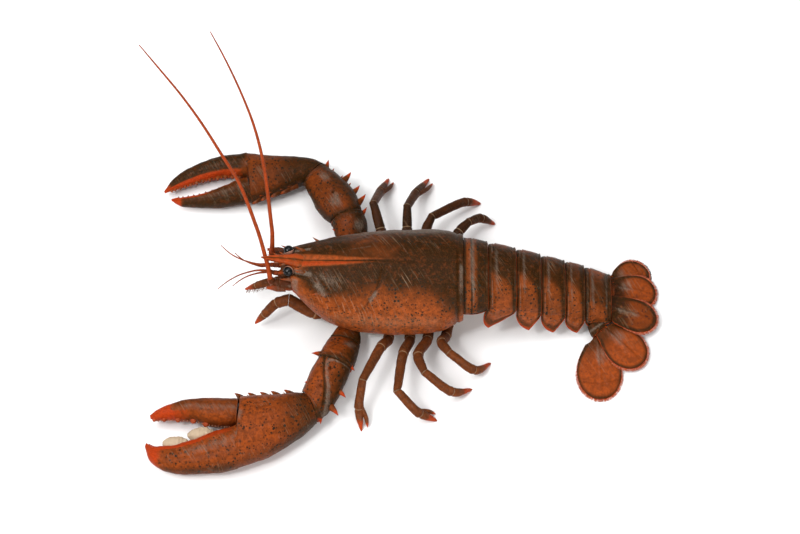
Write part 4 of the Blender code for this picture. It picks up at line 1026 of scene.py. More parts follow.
def power_ring(x, half, top, bottom, sides=72, power=2.7):
    around = oval(sides, power)
    middle = (top + bottom) / 2
    return np.column_stack(
        [
            np.full(sides, x),
            around[:, 0] * half,
            middle + around[:, 1] * (top - bottom) / 2,
        ]
    )


def below_carapace(rows, spacing=0.8):
    """Rows of x, half width, top and bottom, the top just under the carapace."""
    carapace = refine(CARAPACE, 12)
    rows = np.array(sorted(rows))
    count = int((rows[-1, 0] - rows[0, 0]) / spacing) + 2
    places = np.linspace(rows[0, 0], rows[-1, 0], count)
    half, bottom = (np.interp(places, rows[:, 0], rows[:, k]) for k in (1, 2))
    edge = np.interp(places, carapace[:, 0], carapace[:, 4])
    return np.column_stack([places, half, edge + LIP_RISE - GAP, bottom])


def build_head(material, eye_material):
    face = refine(np.array(FACE)[::-1], 8)
    rows = np.vstack([face, below_carapace(HEAD)])
    grid = np.array([power_ring(*row) for row in rows])
    x = grid[..., 0]
    height = 0.35 * waves(grid, 5.0) - 0.6 * bell(grid[..., 1], 0.5) * (x < -60)
    grid = swell(grid, height - 0.5 * bell(x + 84.2, 0.6))
    form = Form(grid, dark=0.65, red=0.35 * smooth(-80, -89, x), grey=0.3, spots=0.3)
    for _, turn in SIDES:
        thorn(form, (-86.5, turn * 5.6, 63.0), (-92.0, turn * 6.2, 64.4), 1.1)
        dome(form, (-88.2, turn * 3.6, 60.5), 2.6, (-1, 0, 0.3), 1.1, red=0.3, dark=0.4)
    make_piece("shell_head", form, material, ("head",))
    for side, turn in SIDES:
        build_eye(side, turn, eye_material)


def build_eye(side, turn, material):
    """Eye ball with a pale rim round its foot, on a short stalk."""
    way = unit((-0.35, turn * 0.75, 0.55))
    across = unit(np.cross(way, (0, 0, 1)))
    rise = np.cross(across, way)
    leans = np.linspace(0.02, math.pi - 0.02, 64)
    radius = EYE_RADIUS * (
        1 - 0.05 * smooth(1.75, 1.95, leans) + 0.045 * bell(leans - 1.78, 0.07)
    )
    centres = np.array(EYE_PLACE) * (1, turn, 1) + (radius * np.cos(leans))[:, None, None] * way
    grid = rings_about(centres, radius * np.sin(leans), across, rise, 96)
    rim_from = EYE_RIM_FROM[side]
    form = Form(grid, pale=smooth(rim_from, rim_from + 0.12, leans)[:, None])
    stalk = [(x, y * turn, z, half, half) for x, y, z, half in EYE_STALK_ROWS]
    grid, _ = tube_grid(stalk, *TUBES["eye_stalk"])
    form.add_grid(grid, pale=1.0, dark=1.0)
    make_piece(f"eye_{side}_ball", form, material, (f"eye_{side}",))


def build_under(material):
    rows = below_carapace(STERNUM)
    grid = np.array(
        [power_ring(*row[:3], row[3] - 0.2, sides=96, power=4.0) for row in rows]
    )
    low = grid[..., 2] < rows[:, None, 3] + 3
    height = 0.25 * waves(grid, 6.0)
    for seam in STERNUM_SEAMS:
        height -= 0.7 * bell(grid[..., 0] - seam, 0.8) * low
    height += 0.7 * bell(grid[..., 1], 1.4) * low
    form = Form(swell(grid, height), pale=0.7, spots=0.2)
    make_piece("shell_sternum", form, material, ("sternum",))
    for side, turn in SIDES:
        rows = [(x, y * turn, z, half, deep) for x, y, z, half, deep in MANDIBLE]
        grid, run = tube_grid(rows, *TUBES["mandible"], power=2.4)
        share = share_of(run)
        grid = swell(grid, 0.15 * waves(grid, 2.5) - 0.4 * bell(share - 0.35, 0.04))
        form = Form(grid, pale=0.9, red=0.35 * smooth(0.75, 1, share))
        make_piece(f"mouth_{side}", form, material, (f"mandible_{side}",))


# Limbs
def bend(before, place, after):
    """Direction that a joint's flat faces look along."""
    before, place, after = (np.asarray(p[:3], float) for p in (before, place, after))
    return unit(unit(place - before) + unit(after - place))


def leg_rows(name):
    return [
        (*place, width, depth)
        for place, width, depth in zip(LEGS[name], LEG_WIDTHS, LEG_DEPTHS)
    ]


def pincer(rows):
    """Second finger of a walking leg's small pincer, beside the first one."""
    palm = np.array(rows[-2])
    tip = np.array(rows[-1])
    way = unit(tip[:3] - palm[:3])
    aside = unit(np.cross(way, (0, 0, 1))) * PINCER_SPREAD
    if aside[0] < 0:
        aside = -aside
    root = palm[:3] + aside * 0.25 - way * 1.5
    middle = palm[:3] + (tip[:3] - palm[:3]) * 0.5 + aside * 0.85
    end = palm[:3] + (tip[:3] - palm[:3]) * 0.86 + aside * 0.9
    return ((*root, 2.0, 2.2), (*middle, 1.6, 1.8), (*end, 0.6, 0.6))


def segmented(grid, run, joints, waist=0.1, flare=0.06, reach=1.6):
    """The rings drawn in just past each joint and flared just before it."""
    scale = np.ones(len(run))
    band = np.zeros(len(run))
    for joint in joints:
        scale -= waist * bell(run - joint - 0.5 * reach, 0.45 * reach)
        scale += flare * bell(run - joint + 0.7 * reach, 0.7 * reach)
        band += bell(run - joint - 0.35 * reach, 0.32 * reach)
    return drawn(grid, scale), np.clip(band, 0, 1)


def limb_marks(grid, run, band, tip_red=0.0, top_dark=0.4):
    up = upness(grid)
    tip = smooth(0.6, 0.92, share_of(run))
    return {
        "pale": 0.62 * band[:, None],
        "dark": top_dark * smooth(-0.6, 0.7, up) * (1 - 0.7 * tip * tip_red),
        "red": tip_red * tip + 0.15 * smooth(0.3, -0.6, up),
        "grey": 0.28 * bell(up - 0.75, 0.12),
        "spots": 0.3,
    }


def pointed(grid, run, reach=2.6):
    """The rings drawn to a rounded point over the last of the run."""
    return drawn(grid, np.sqrt(np.clip((run[-1] - run) / reach, 0.02, 1)))


def build_leg(name, material):
    rows = leg_rows(name)
    knee = bend(*rows[2:5])
    outer = (0, math.copysign(1, rows[0][1]), 0)
    # Right legs, on the far side, are darker: painted shade.
    shade = 0.75 if "right" in name else 0.3
    grid, run = tube_grid(rows[:4], *TUBES["leg"], start=outer, end=knee, gaps=(0, GAP / 2))
    grid, band = segmented(grid, run, joint_runs(rows[:4])[1:3])
    grid = swell(grid, 0.22 * waves(grid, 5.0))
    band = np.maximum(band, 0.7 * bell(run - run[-1], 0.8))
    form = Form(grid, **limb_marks(grid, run, band, top_dark=shade + 0.15))
    make_piece(name + "_top", form, material, (name + "_upper",))

    grid, run = tube_grid(rows[3:], *TUBES["leg"], start=knee, gaps=(GAP / 2, 0))
    grid, band = segmented(grid, run, joint_runs(rows[3:])[1:2], waist=0.14)
    grid = pointed(swell(grid, 0.2 * waves(grid, 4.0)), run)
    band = np.maximum(band, 0.8 * bell(run, 0.8))
    marks = limb_marks(grid, run, band, tip_red=1.0, top_dark=shade)
    form = Form(above_floor(grid), **marks)
    if name in PINCER_LEGS:
        grid, run = tube_grid(pincer(rows), *TUBES["pincer"])
        marks = limb_marks(grid, run, 0 * run, tip_red=1.0, top_dark=shade - 0.1)
        form.add_grid(above_floor(pointed(grid, run)), **marks)
    make_piece(name + "_shank", form, material, (name + "_lower",))


def swollen(first, last, swell_form):
    """Row between two joints, with its own thickness and shift to the outer side."""
    share, width, depth, aside = swell_form
    first = np.array(first[:3])
    last = np.array(last[:3])
    out = unit(np.cross(last - first, (0, 0, 1)))
    if out[0] < 0:
        out = -out
    place = first * (1 - share) + last * share + out * aside
    return (*place, width, depth)


def limb_spines(form, rows, tips):
    """Spines that rise from inside a limb to their tips, leaning toward its end."""
    path = refine(rows, 6)[:, :3]
    for tip in np.array(tips):
        near = int(np.argmin(np.linalg.norm(path - tip, axis=1)))
        near = min(near, len(path) - 2)
        way = unit(path[near + 1] - path[near])
        foot = path[near] - way * ARM_SPINE_LEAN
        root = tip - unit(tip - foot) * ARM_SPINE_LENGTH
        high = tip[2] > 34
        end = tip + (tip - root) * (0.0 if high else 0.08)
        thorn(
            form, root - way * 1.2, end, ARM_SPINE_RADIUS * (0.55 if high else 1.0),
            sides=24, flare=0.3, red=0.1 if high else 0.9, dark=0.9 if high else 0.6,
            grey=0.3, hook=None if high else unit(tip - path[near]) * 0.5 - way * 0.3,
        )


def rung_joint(rung):
    """Joint row and direction at the claw's first rung."""
    outer = np.array([rung[0], rung[1], rung[4]])
    inner = np.array([rung[2], rung[3], rung[4]])
    way = unit(np.cross(outer - inner, (0, 0, 1)))
    if way[0] > 0:
        way = -way
    half = np.linalg.norm(outer - inner) / 2
    return (*((outer + inner) / 2), half, rung[5]), way


def arm_segment(name, rows, start, end, gaps, material, furrow=None, dark=0.6):
    """One segment of a claw's arm. A furrow runs between two places on its top."""
    spacing, sides = TUBES["arm"]
    grid, run = tube_grid(rows, spacing, sides, start=start, end=end, gaps=gaps)
    aside, up = oval(sides).T
    outer = aside * (-1 if "left" in name else 1)
    share = share_of(run)
    last = (run[-1] - run)[:, None]
    ends = np.minimum(run[:, None], last)
    joint = 0.0 if name.endswith("ischium") else 1.0
    height = 0.45 * waves(grid, 9.0) + 0.22 * waves(grid, 3.5, 5.0) - 0.7 * bell(ends, 0.6)
    height += joint * (0.4 * bell(last - 1.6, 0.9) - 0.45 * bell(last - 3.4, 0.8))
    groove = 0.0
    shine = 0.4 * joint * bell(last - 2.6, 0.7) * (up > 0.2)
    for along, across, size in ARM_SHINES.get(name, ()):
        gap = np.hypot((share - along) * 2.2, aside - across)
        shine = shine + 0.8 * bell(gap, size) * (up > 0)
    if furrow is not None:
        gap = line_distance(share * 30, aside * 14, *furrow)
        groove = bell(gap, 0.9) * (up > 0)
        height += 0.35 * bell(gap - 2.2, 1.2) * (up > 0) - 0.8 * groove
        (low, from_side), (high, to_side) = furrow
        line = from_side + (to_side - from_side) * (share * 30 - low) / (high - low)
        beyond = (line - aside * 14) * (up > 0) * plateau(share, 0, 0.12, 0.85, 1)
        shine = shine + 0.75 * plateau(beyond, 0.5, 2.0, 3.0, 6.5)
    grid = above_floor(swell(grid, height))
    rim = bell(last - 1.0, 0.8)
    form = Form(
        grid,
        # Darker on the right arm, on the far side: painted shade.
        dark=(0.22 if "left" in name else 0.45) + dark * smooth(-0.2, 0.9, outer)
        + 0.5 * smooth(0.75, 1, np.abs(aside))
        # Darker in the furrow: painted shade.
        + 0.35 * smooth(5, 0, ends) + 0.8 * groove + 0.4 * bell(ends, 1.0),
        red=0.35 * joint * rim + 0.3 * smooth(0.1, -0.7, up)
        + 0.25 * smooth(0.9, 1.0, np.abs(aside)),
        pale=0.3 * joint * bell(ends - 0.2, 0.4),
        grey=shine,
        spots=smooth(-0.9, -0.2, up) * (1 - rim),
    )
    if name in ARM_SPINES:
        limb_spines(form, rows, ARM_SPINES[name])
    if name == "cheliped_right_carpus":
        for at in CARPUS_THORNS:
            ring = int(at * (len(run) - 1))
            foot = grid[ring, 2]
            way = unit(foot - grid[ring].mean(axis=0))
            ahead = unit(grid[ring + 1].mean(axis=0) - grid[ring].mean(axis=0))
            thorn(form, foot - way, foot + way * 2.4 + ahead * 1.6, 1.2, red=0.8, dark=0.4)
    make_piece(name + "_shell", form, material, (name,))


def build_arm(side, joints, wrist_rung, material):
    shoulder, elbow, knee = joints
    wrist, wrist_way = rung_joint(wrist_rung)
    outer = (0, math.copysign(1, shoulder[1]), 0)
    first = bend(shoulder, elbow, knee)
    second = bend(elbow, knee, wrist)
    merus = (elbow, *(swollen(elbow, knee, place) for place in MERUS_SWELLS[side]), knee)
    carpus = (knee, *(swollen(knee, wrist, place) for place in CARPUS_SWELLS[side]), wrist)
    name = f"cheliped_{side}_"
    gaps = (GAP / 2, GAP / 2)
    # The right arm, on the far side, is darker: painted shade.
    shade = 0.7 if side == "left" else 1.1
    arm_segment(name + "ischium", (shoulder, elbow), outer, first, (0, GAP / 2), material)
    arm_segment(name + "merus", merus, first, second, gaps, material, dark=shade)
    arm_segment(
        name + "carpus", carpus, second, wrist_way, gaps, material, CARPUS_FURROWS.get(side)
    )


# Claws
def claw_points(rows, places, edge):
    """Points on one edge of a claw, each with the direction out from it."""
    rows = np.array(rows)
    found = []
    for place in places:
        first = min(int(place), len(rows) - 2)
        row = rows[first] + (rows[first + 1] - rows[first]) * (place - first)
        outer = row[[0, 1, 4]]
        inner = row[[2, 3, 4]]
        out = unit(inner - outer)
        found.append((inner, out) if edge == "inner" else (outer, -out))
    return found


def rung_middles(rows):
    return (rows[:, [0, 1, 4]] + rows[:, [2, 3, 4]]) / 2


def slab_grid(rows):
    """Rings through level rungs, each ring's run, and the places across and up."""
    spacing, sides = TUBES["claw"]
    rows, run = even(rows, spacing, path=rung_middles)
    aside, up = oval(sides, 2.2).T
    across = (rows[:, [0, 1, 4]] - rows[:, [2, 3, 4]]) / 2
    grid = rung_middles(rows)[:, None] + aside[:, None] * across[:, None]
    grid[..., 2] += up * rows[:, 5:6]
    return grid, run, aside, up


def claw_skin(
    form, rows, finger_from, tooth_side, base_dark, finger_dark, inner_red,
    tip_from=0.86, inner_from=0.5,
):
    """Skin of a palm with its fixed finger, or of the moving finger."""
    grid, run, aside, up = slab_grid(rows)
    palm = len(rows) > 8
    upper = up > 0
    x = grid[..., 0]
    inward = tooth_side * aside
    share = share_of(run)
    finger = smooth(finger_from + 3, finger_from - 9, x)
    height = 0.55 * waves(grid, 15.0) + 0.3 * waves(grid, 5.0, 3.0)
    for line in (0.25, -0.3):
        height -= 0.35 * bell(aside - line, 0.09) * finger * np.abs(up) ** 2
    height -= 0.8 * bell(run[:, None] - 0.8, 0.8)
    height += 0.3 * smooth(0.45, 0.85, inward) * finger * waves(grid, 2.5)
    thin = np.minimum(1, plateau(share, 0, 0.06, 0.93, 1.0) + 0.25)
    grid = above_floor(swell(grid, height * thin))
    edge = smooth(0.82, 1.0, np.abs(aside))
    tip = smooth(tip_from - 0.03, tip_from + 0.09, share) * finger
    inner = smooth(inner_from, inner_from + 0.3, inward) * finger
    inner = inner * (0.4 + 0.6 * smooth(0.3, 0.9, share))
    if not palm:
        tooth_row = smooth(0.15, 0.55, inward) * smooth(0.35, 0.7, share) * finger
        inner = np.maximum(inner, tooth_row)
    dark = base_dark + 0.45 * edge + 0.6 * smooth(0.3, 0.0, share) * palm
    dark = dark + finger_dark * finger * (smooth(-0.2, 0.5, up) + 0.8 * smooth(0.25, -0.6, inward))
    shine = 0.95 * bell(aside - 0.05 * tooth_side, 0.32) * finger * upper
    shine = shine * smooth(tip_from, tip_from - 0.15, share)
    knuckle = np.hypot((x - finger_from) / 3.2, (aside - 0.3 * tooth_side) / 0.22)
    shine = shine + 1.3 * bell(knuckle, 1.0) * upper * palm
    form.add_grid(
        grid,
        dark=dark * (1 - 0.9 * inner * min(1, inner_red + 0.2)) * (1 - 0.85 * tip),
        red=inner_red * inner + tip + 0.25 * smooth(-0.1, -0.8, up),
        pale=0.3 * bell(run[:, None] - 0.3, 0.5),
        grey=0.65 * shine * (1 - finger_dark) + 0.25 * edge * upper * (1 - finger),
        spots=smooth(-0.9, -0.3, up) * (1 - 0.7 * inner)
        * (1 - 0.6 * finger * finger_dark) * (1.0 if palm else 0.45),
        scratch=0.6 * (1 - finger_dark) * finger * upper * bell(aside, 0.45),
    )


def palm_spines(form, rows, places, size, small=16):
    length, radius = size
    for point, out in claw_points(rows, places, "inner"):
        root = point - out * 1.2
        tip = point + out * length * 0.58 + np.array([-length * 0.8, 0, 0])
        thorn(
            form, root, tip, radius * 0.95, sides=24, flare=0.3, red=0.45, dark=0.75,
            grey=0.4, hook=out * 0.8,
        )
    places = np.linspace(places[0], places[-1], small)
    for number, (point, out) in enumerate(claw_points(rows, places, "inner")):
        rise = 3.4 if number % 2 else -3.0
        root = point - out * 1.4 + np.array([0, 0, rise])
        tip = root + out * 2.0 + np.array([-1.5, 0, rise * 0.35])
        thorn(form, root, tip, 1.0, red=0.5, dark=0.5)


def saw_teeth(form, rows, tooth_form, edge):
    """Low broad teeth in a row, with a smaller one between each two."""
    first, last, length, radius = tooth_form
    places = np.linspace(first, last, TOOTH_COUNT)
    points = claw_points(rows, places, edge)
    for number, (point, out) in enumerate(points):
        shrink = 1 - 0.4 * number / TOOTH_COUNT
        thorn(
            form, point - out * 0.8, point + out * length * 0.85, radius * shrink * 1.05,
            sides=20, flare=0.3, red=0.45, grey=0.5,
        )
        if number + 1 < len(points):
            after, way = points[number + 1]
            middle = (point + after) / 2
            thorn(
                form, middle - way * 0.7, middle + way * length * 0.4,
                radius * shrink * 0.7, sides=14, flare=0.4, red=0.55, grey=0.2,
            )


def molar(form, tooth):
    """Rounded tooth along the claw's finger."""
    first, last, y, z, width, depth = tooth
    rows = [
        (first + (last - first) * share, y, z, width * fullness, depth * fullness)
        for share, fullness in MOLAR_SHAPE
    ]
    grid, run = tube_grid(rows, *TUBES["molar"])
    crown = smooth(-0.3, 0.6, upness(grid))
    height = 0.7 * waves(grid, 3.2) + 0.12 * np.cos(run * 2.1)[:, None] * crown
    grid = swell(grid, height - 0.3) - np.array([0, 0, 0.5])
    form.add_grid(grid, pale=0.75 + 0.5 * crown, dark=0.6 * (1 - crown), red=0.5 * (1 - crown))


def drawn_in(rows):
    """A claw's rows, the first one moved by half the gap at the wrist."""
    rows = np.array(rows)
    rows[0, :4] += np.tile((rung_joint(rows[0])[1] * GAP / 2)[:2], 2)
    return rows


def build_claws(material):
    form = Form()
    claw_skin(form, drawn_in(CRUSHER), CRUSHER_FINGER_FROM, -1, 0.1, 0.1, 0.95, inner_from=0.3)
    palm_spines(form, CRUSHER, CRUSHER_SPINES, CRUSHER_SPINE_SIZE)
    for tooth in MOLARS:
        molar(form, tooth)
    for point, out in claw_points(CRUSHER, np.linspace(5.3, 9.6, 22), "inner"):
        dome(form, point - out * 0.3, 0.8, out, 1.1, pale=0.1, red=0.8)
    make_piece("crusher_palm", form, material, ("crusher_claw",))
    form = Form()
    claw_skin(form, CRUSHER_DACTYL, CRUSHER_DACTYL_FROM, -1, 0.15, 0.2, 0.6, 0.72)
    for x, y, z, radius in KNOBS:
        dome(form, (x, y + 0.5, z), radius, (0, -1, 0.2), 1.1, sides=20, pale=0.3, red=0.6)
    for point, out in claw_points(CRUSHER_DACTYL, np.linspace(0.6, 5.6, 26), "inner"):
        dome(form, point - np.array([0, 0, 1.2]), 0.65, out, 1.2, pale=0.5, red=0.5)
    make_piece("crusher_finger", form, material, ("crusher_claw_dactyl",))
    form = Form()
    claw_skin(form, drawn_in(CUTTER), CUTTER_FINGER_FROM, -1, 0.5, 0.5, 1.0, 0.93)
    palm_spines(form, CUTTER, CUTTER_SPINES, CUTTER_SPINE_SIZE, small=9)
    saw_teeth(form, CUTTER, CUTTER_TEETH, "inner")
    make_piece("cutter_palm", form, material, ("cutter_claw",))
    form = Form()
    claw_skin(form, CUTTER_DACTYL, CUTTER_DACTYL_FROM, 1, 0.45, 0.3, 0.9, 0.84)
    saw_teeth(form, CUTTER_DACTYL, DACTYL_TEETH, "outer")
    make_piece("cutter_finger", form, material, ("cutter_claw_dactyl",))


# Feelers and mouth limbs
def build_antenna(side, turn, foot, whip, material):
    joint = bend(foot[-2], foot[-1], whip[1])
    grid, run = tube_grid(
        foot, *TUBES["antenna_foot"], start=(-1, 0, 0), end=joint, gaps=(0, GAP / 2), turn=4.0
    )
    grid, band = segmented(grid, run, joint_runs(foot)[1:3], 0.14, 0.08, 1.2)
    grid = swell(grid, 0.18 * waves(grid, 3.0))
    grid[0] = grid[0].mean(axis=0) + (grid[0] - grid[0].mean(axis=0)) * 0.85 + (2.5, 0, 0)
    marks = limb_marks(grid, run, 0.7 * band, top_dark=0.8)
    marks["grey"] = marks["grey"] + 0.3 * smooth(3, 0, run)[:, None]
    form = Form(grid, **marks)
    scale = [(x, y * turn, z, half, deep) for x, y, z, half, deep in ANTENNA_SCALE]
    grid, run = tube_grid(scale, *TUBES["antenna_scale"])
    share = share_of(run)
    form.add_grid(grid, red=0.1 + 0.5 * share, dark=0.75 - 0.4 * share, grey=0.35)
    thorn(form, (-97.0, 16.9 * turn, 59.2), (-101.0, 17.3 * turn, 59.8), 0.8)
    make_piece(f"antenna_{side}_foot", form, material, (f"antenna_{side}_base",))
    whip = ((*(np.array(foot[-1][:3]) - np.array(joint) * 1.5), 2.0, 2.0), *whip)
    grid, run = tube_grid(whip, *TUBES["antenna_whip"], start=joint)
    rings = np.abs(np.sin(math.pi * run / ANTENNA_RING))
    grid = drawn(grid, 1 - 0.07 * rings**6)
    under = smooth(0.2, -0.7, upness(grid))
    dark = 0.7 * under + 0.3 * rings[:, None] ** 4 + 0.2 * share_of(run)
    form = Form(grid, red=0.6, dark=dark)
    make_piece(f"antenna_{side}_whip", form, material, (f"antenna_{side}_flagellum",))


def build_antennule(side, rows, material):
    fork = np.array(rows[1])
    inner = [tuple(fork - (-0.5, 0, 0.3, 0.5, 0.5))]
    for row in rows[2:]:
        row = np.array(row)
        row[:3] = fork[:3] + (row[:3] - fork[:3]) * ANTENNULE_INNER_SHARE
        row[2] -= ANTENNULE_INNER_DROP
        inner.append(tuple(row))
    form = Form()
    stem = ((rows[0][0] + 2.4, *rows[0][1:3], 2.3, 2.3), *rows)
    for path, start in ((stem, (-1, 0, 0)), (inner, None)):
        grid, run = tube_grid(path, *TUBES["antennule"], start=start)
        ringed = smooth(10.5, 11.5, run) if start else 1.0
        beat = 1 - 0.08 * ringed * np.abs(np.sin(math.pi * run / ANTENNULE_RING)) ** 6
        dark = 0.5 * np.ones(len(run))
        for place in ANTENNULE_JOINTS if start else ():
            beat -= 0.14 * bell(run - place, 0.35) - 0.05 * bell(run - place + 0.9, 0.6)
            dark += 0.5 * bell(run - place, 0.4)
        form.add_grid(
            drawn(grid, beat), red=0.45, dark=dark[:, None] * (1 - 0.7 * share_of(run)),
            grey=0.3 * (1 - smooth(10, 12, run))[:, None],
        )
    make_piece(f"antennule_{side}_whips", form, material, (f"antennule_{side}",))


def build_feelers(material):
    build_antenna("left", -1, ANTENNA_FOOT_LEFT, ANTENNA_LEFT, material)
    build_antenna("right", 1, ANTENNA_FOOT_RIGHT, ANTENNA_RIGHT, material)
    build_antennule("left", ANTENNULE_LEFT, material)
    build_antennule("right", ANTENNULE_RIGHT, material)


def build_maxillipeds(material, hair_material):
    hairs = []
    chance = np.random.default_rng(RANDOM_SEED)
    for name, rows in (
        ("maxilliped_left", MAXILLIPED_LEFT), ("maxilliped_right", MAXILLIPED_RIGHT),
    ):
        joint = bend(*rows[1:4])
        inward = -math.copysign(1, rows[0][1])
        for part, path, start, end, gaps in (
            ("upper", rows[:3], (-1, 0, 0), joint, (0, GAP / 2)),
            ("lower", rows[2:], joint, None, (GAP / 2, 0)),
        ):
            grid, run = tube_grid(path, *TUBES["maxilliped"], start=start, end=end, gaps=gaps)
            grid, band = segmented(grid, run, joint_runs(path)[1:-1], 0.12, 0.06, 1.4)
            grid = swell(grid, 0.2 * waves(grid, 3.5))
            form = Form(grid, **limb_marks(grid, run, band, tip_red=0.8 * (part == "lower")))
            make_piece(f"{name}_{part}_shell", form, material, (f"{name}_{part}",))
            middle = grid.mean(axis=1)
            count = int(run[-1] / MOUTH_HAIR_SPACING)
            low = (chance.uniform(0.05, 0.97, count) * (len(run) - 1)).astype(int)
            ahead = units(np.gradient(middle, axis=0))[low]
            side = units(np.cross(ahead, (0, 0, 1))) * inward
            side = np.where((side[:, 1] * inward > 0)[:, None], side, -side)
            spread = chance.normal(0, 0.35, count)
            way = units(side + np.array([0, 0, -1]) * (0.55 + spread)[:, None] + ahead * 0.7)
            size = np.linalg.norm(grid[low, 0] - middle[low], axis=1)
            root = middle[low] + units(side + np.array([0, 0, -0.5])) * size[:, None] * 0.85
            length = chance.uniform(2.0, 4.2, count)
            base = (0.0 if "left" in name else 0.1) + (0.05 if part == "upper" else 0.0)
            place = np.stack([base + run[low] * METRES, 0.3 + spread * 0.004], axis=1)
            hairs.append((root, way, length, place))
    root, way, length, place = map(np.concatenate, zip(*hairs))
    hair_piece("mouth_hair", root, way, length, 0.09, place, hair_material)


# Abdomen and tail fan
def abdomen_profile(half, top, middle, plate_half, plate_low):
    """Right half of an abdomen section: y, z and share of the plate's lean."""
    angle = np.linspace(0, math.pi / 2, ABDOMEN_ARCH)
    arch = np.stack(
        [half * np.sin(angle), middle + (top - middle) * np.cos(angle), 0 * angle], axis=1
    )
    belly = top - half * 2 * BELLY_SHARE
    low = min(plate_low, middle - 1.0)
    deep = middle - low
    knots = [
        (half, middle, 0.0),
        (half + (plate_half - half) * 0.7 + 0.3, middle - deep * 0.45, 0.45),
        (plate_half + 0.1, low + 0.8, 0.97),
        (plate_half - 0.5, low, 1.0),
        (plate_half - PLATE_THICKNESS, low + 0.3, 1.0),
        (half - PLATE_THICKNESS * 1.6, middle - 2.2 - deep * 0.2, 0.1),
        (half * 0.62, min(belly + 1.5, middle - 7.0), 0.0),
        (0, min(belly, middle - 8.0), 0.0),
    ]
    lower = refine(knots, 8)[1:]
    return np.vstack([arch, lower])


def abdomen_grid(number, shares):
    """Rings of one segment at the shares of its length."""
    first = np.array(ABDOMEN[number])
    last = np.array(ABDOMEN[number + 1])
    peak, tip_half, tip, lean = PLEURA[number]
    rings = []
    for place in shares:
        x, half, top, middle = first + (last - first) * place
        x += GAP / 2 * (1 - 2 * place)
        scale = np.interp(place, RIB_PLACES, RIB_SCALES)
        if number == 0:
            scale = max(scale, 0.985 - 0.01 * place)
        reach = 1 - abs(place - peak) / (peak if place < peak else 1 - peak)
        reach **= FRONT_FULLNESS if place < peak else REAR_FULLNESS
        half *= scale
        ring = closed(
            abdomen_profile(
                half, middle + (top - middle) * scale, middle,
                half + (tip_half - half) * reach, middle + (tip - middle) * reach,
            )
        )
        rings.append(np.column_stack([x - lean * reach * ring[:, 2], ring[:, 0], ring[:, 1]]))
    return np.array(rings)


def abdomen_darkness(number, place, s, far, collar):
    first_one, last_one = number == 0, number == len(PLEURA) - 1
    width = 11.0 - 0.8 * number
    lean_width = width - 4 + 11 * place
    if first_one:
        dark = 0.58 + 0.55 * smooth(0.46, 0.64, place) * smooth(50, 34, s)
    elif last_one:
        dark = 0.38 + 0.3 * smooth(20, 8, s)
    else:
        near_dark = smooth(lean_width + 6, lean_width - 9, s)
        # The far side is darker: painted shade.
        dark = np.where(far, smooth(width + 32, width, s), near_dark)
        dark = dark * (1 - 0.1 * max(0, number - 2))
        dark = np.maximum(dark, 0.18 + 0.26 * smooth(42, 26, s)) + 0.05 * dark
    # Darker toward each segment's rear: painted shade.
    dark = dark + 0.55 * smooth(0.62, 0.94, place) * smooth(width + 30, width + 4, s)
    dark = dark + (0.6 * smooth(0.2, 0.02, place) + 0.5 * smooth(30, 42, s)) * last_one
    dark = dark + 0.7 * bell(place - 0.9, 0.05) + 0.6 * bell(place - 0.04, 0.04)
    return dark * (1 - 0.2 * collar) + 0.9 * bell(place - 0.31, 0.025) * first_one


def abdomen_shine(number, place, s):
    """Painted highlight line across one segment."""
    if number == 0:
        return 0.85 * bell(place - 0.38, 0.07) * smooth(44, 24, s)
    if number == len(PLEURA) - 1:
        worn = 0.8 * bell(place - 0.8, 0.05) * smooth(22, 12, s)
        return worn + 0.7 * bell(place - 0.08, 0.03)
    return bell(place - 0.12, 0.02) * plateau(s, 8, 14, 30, 44)


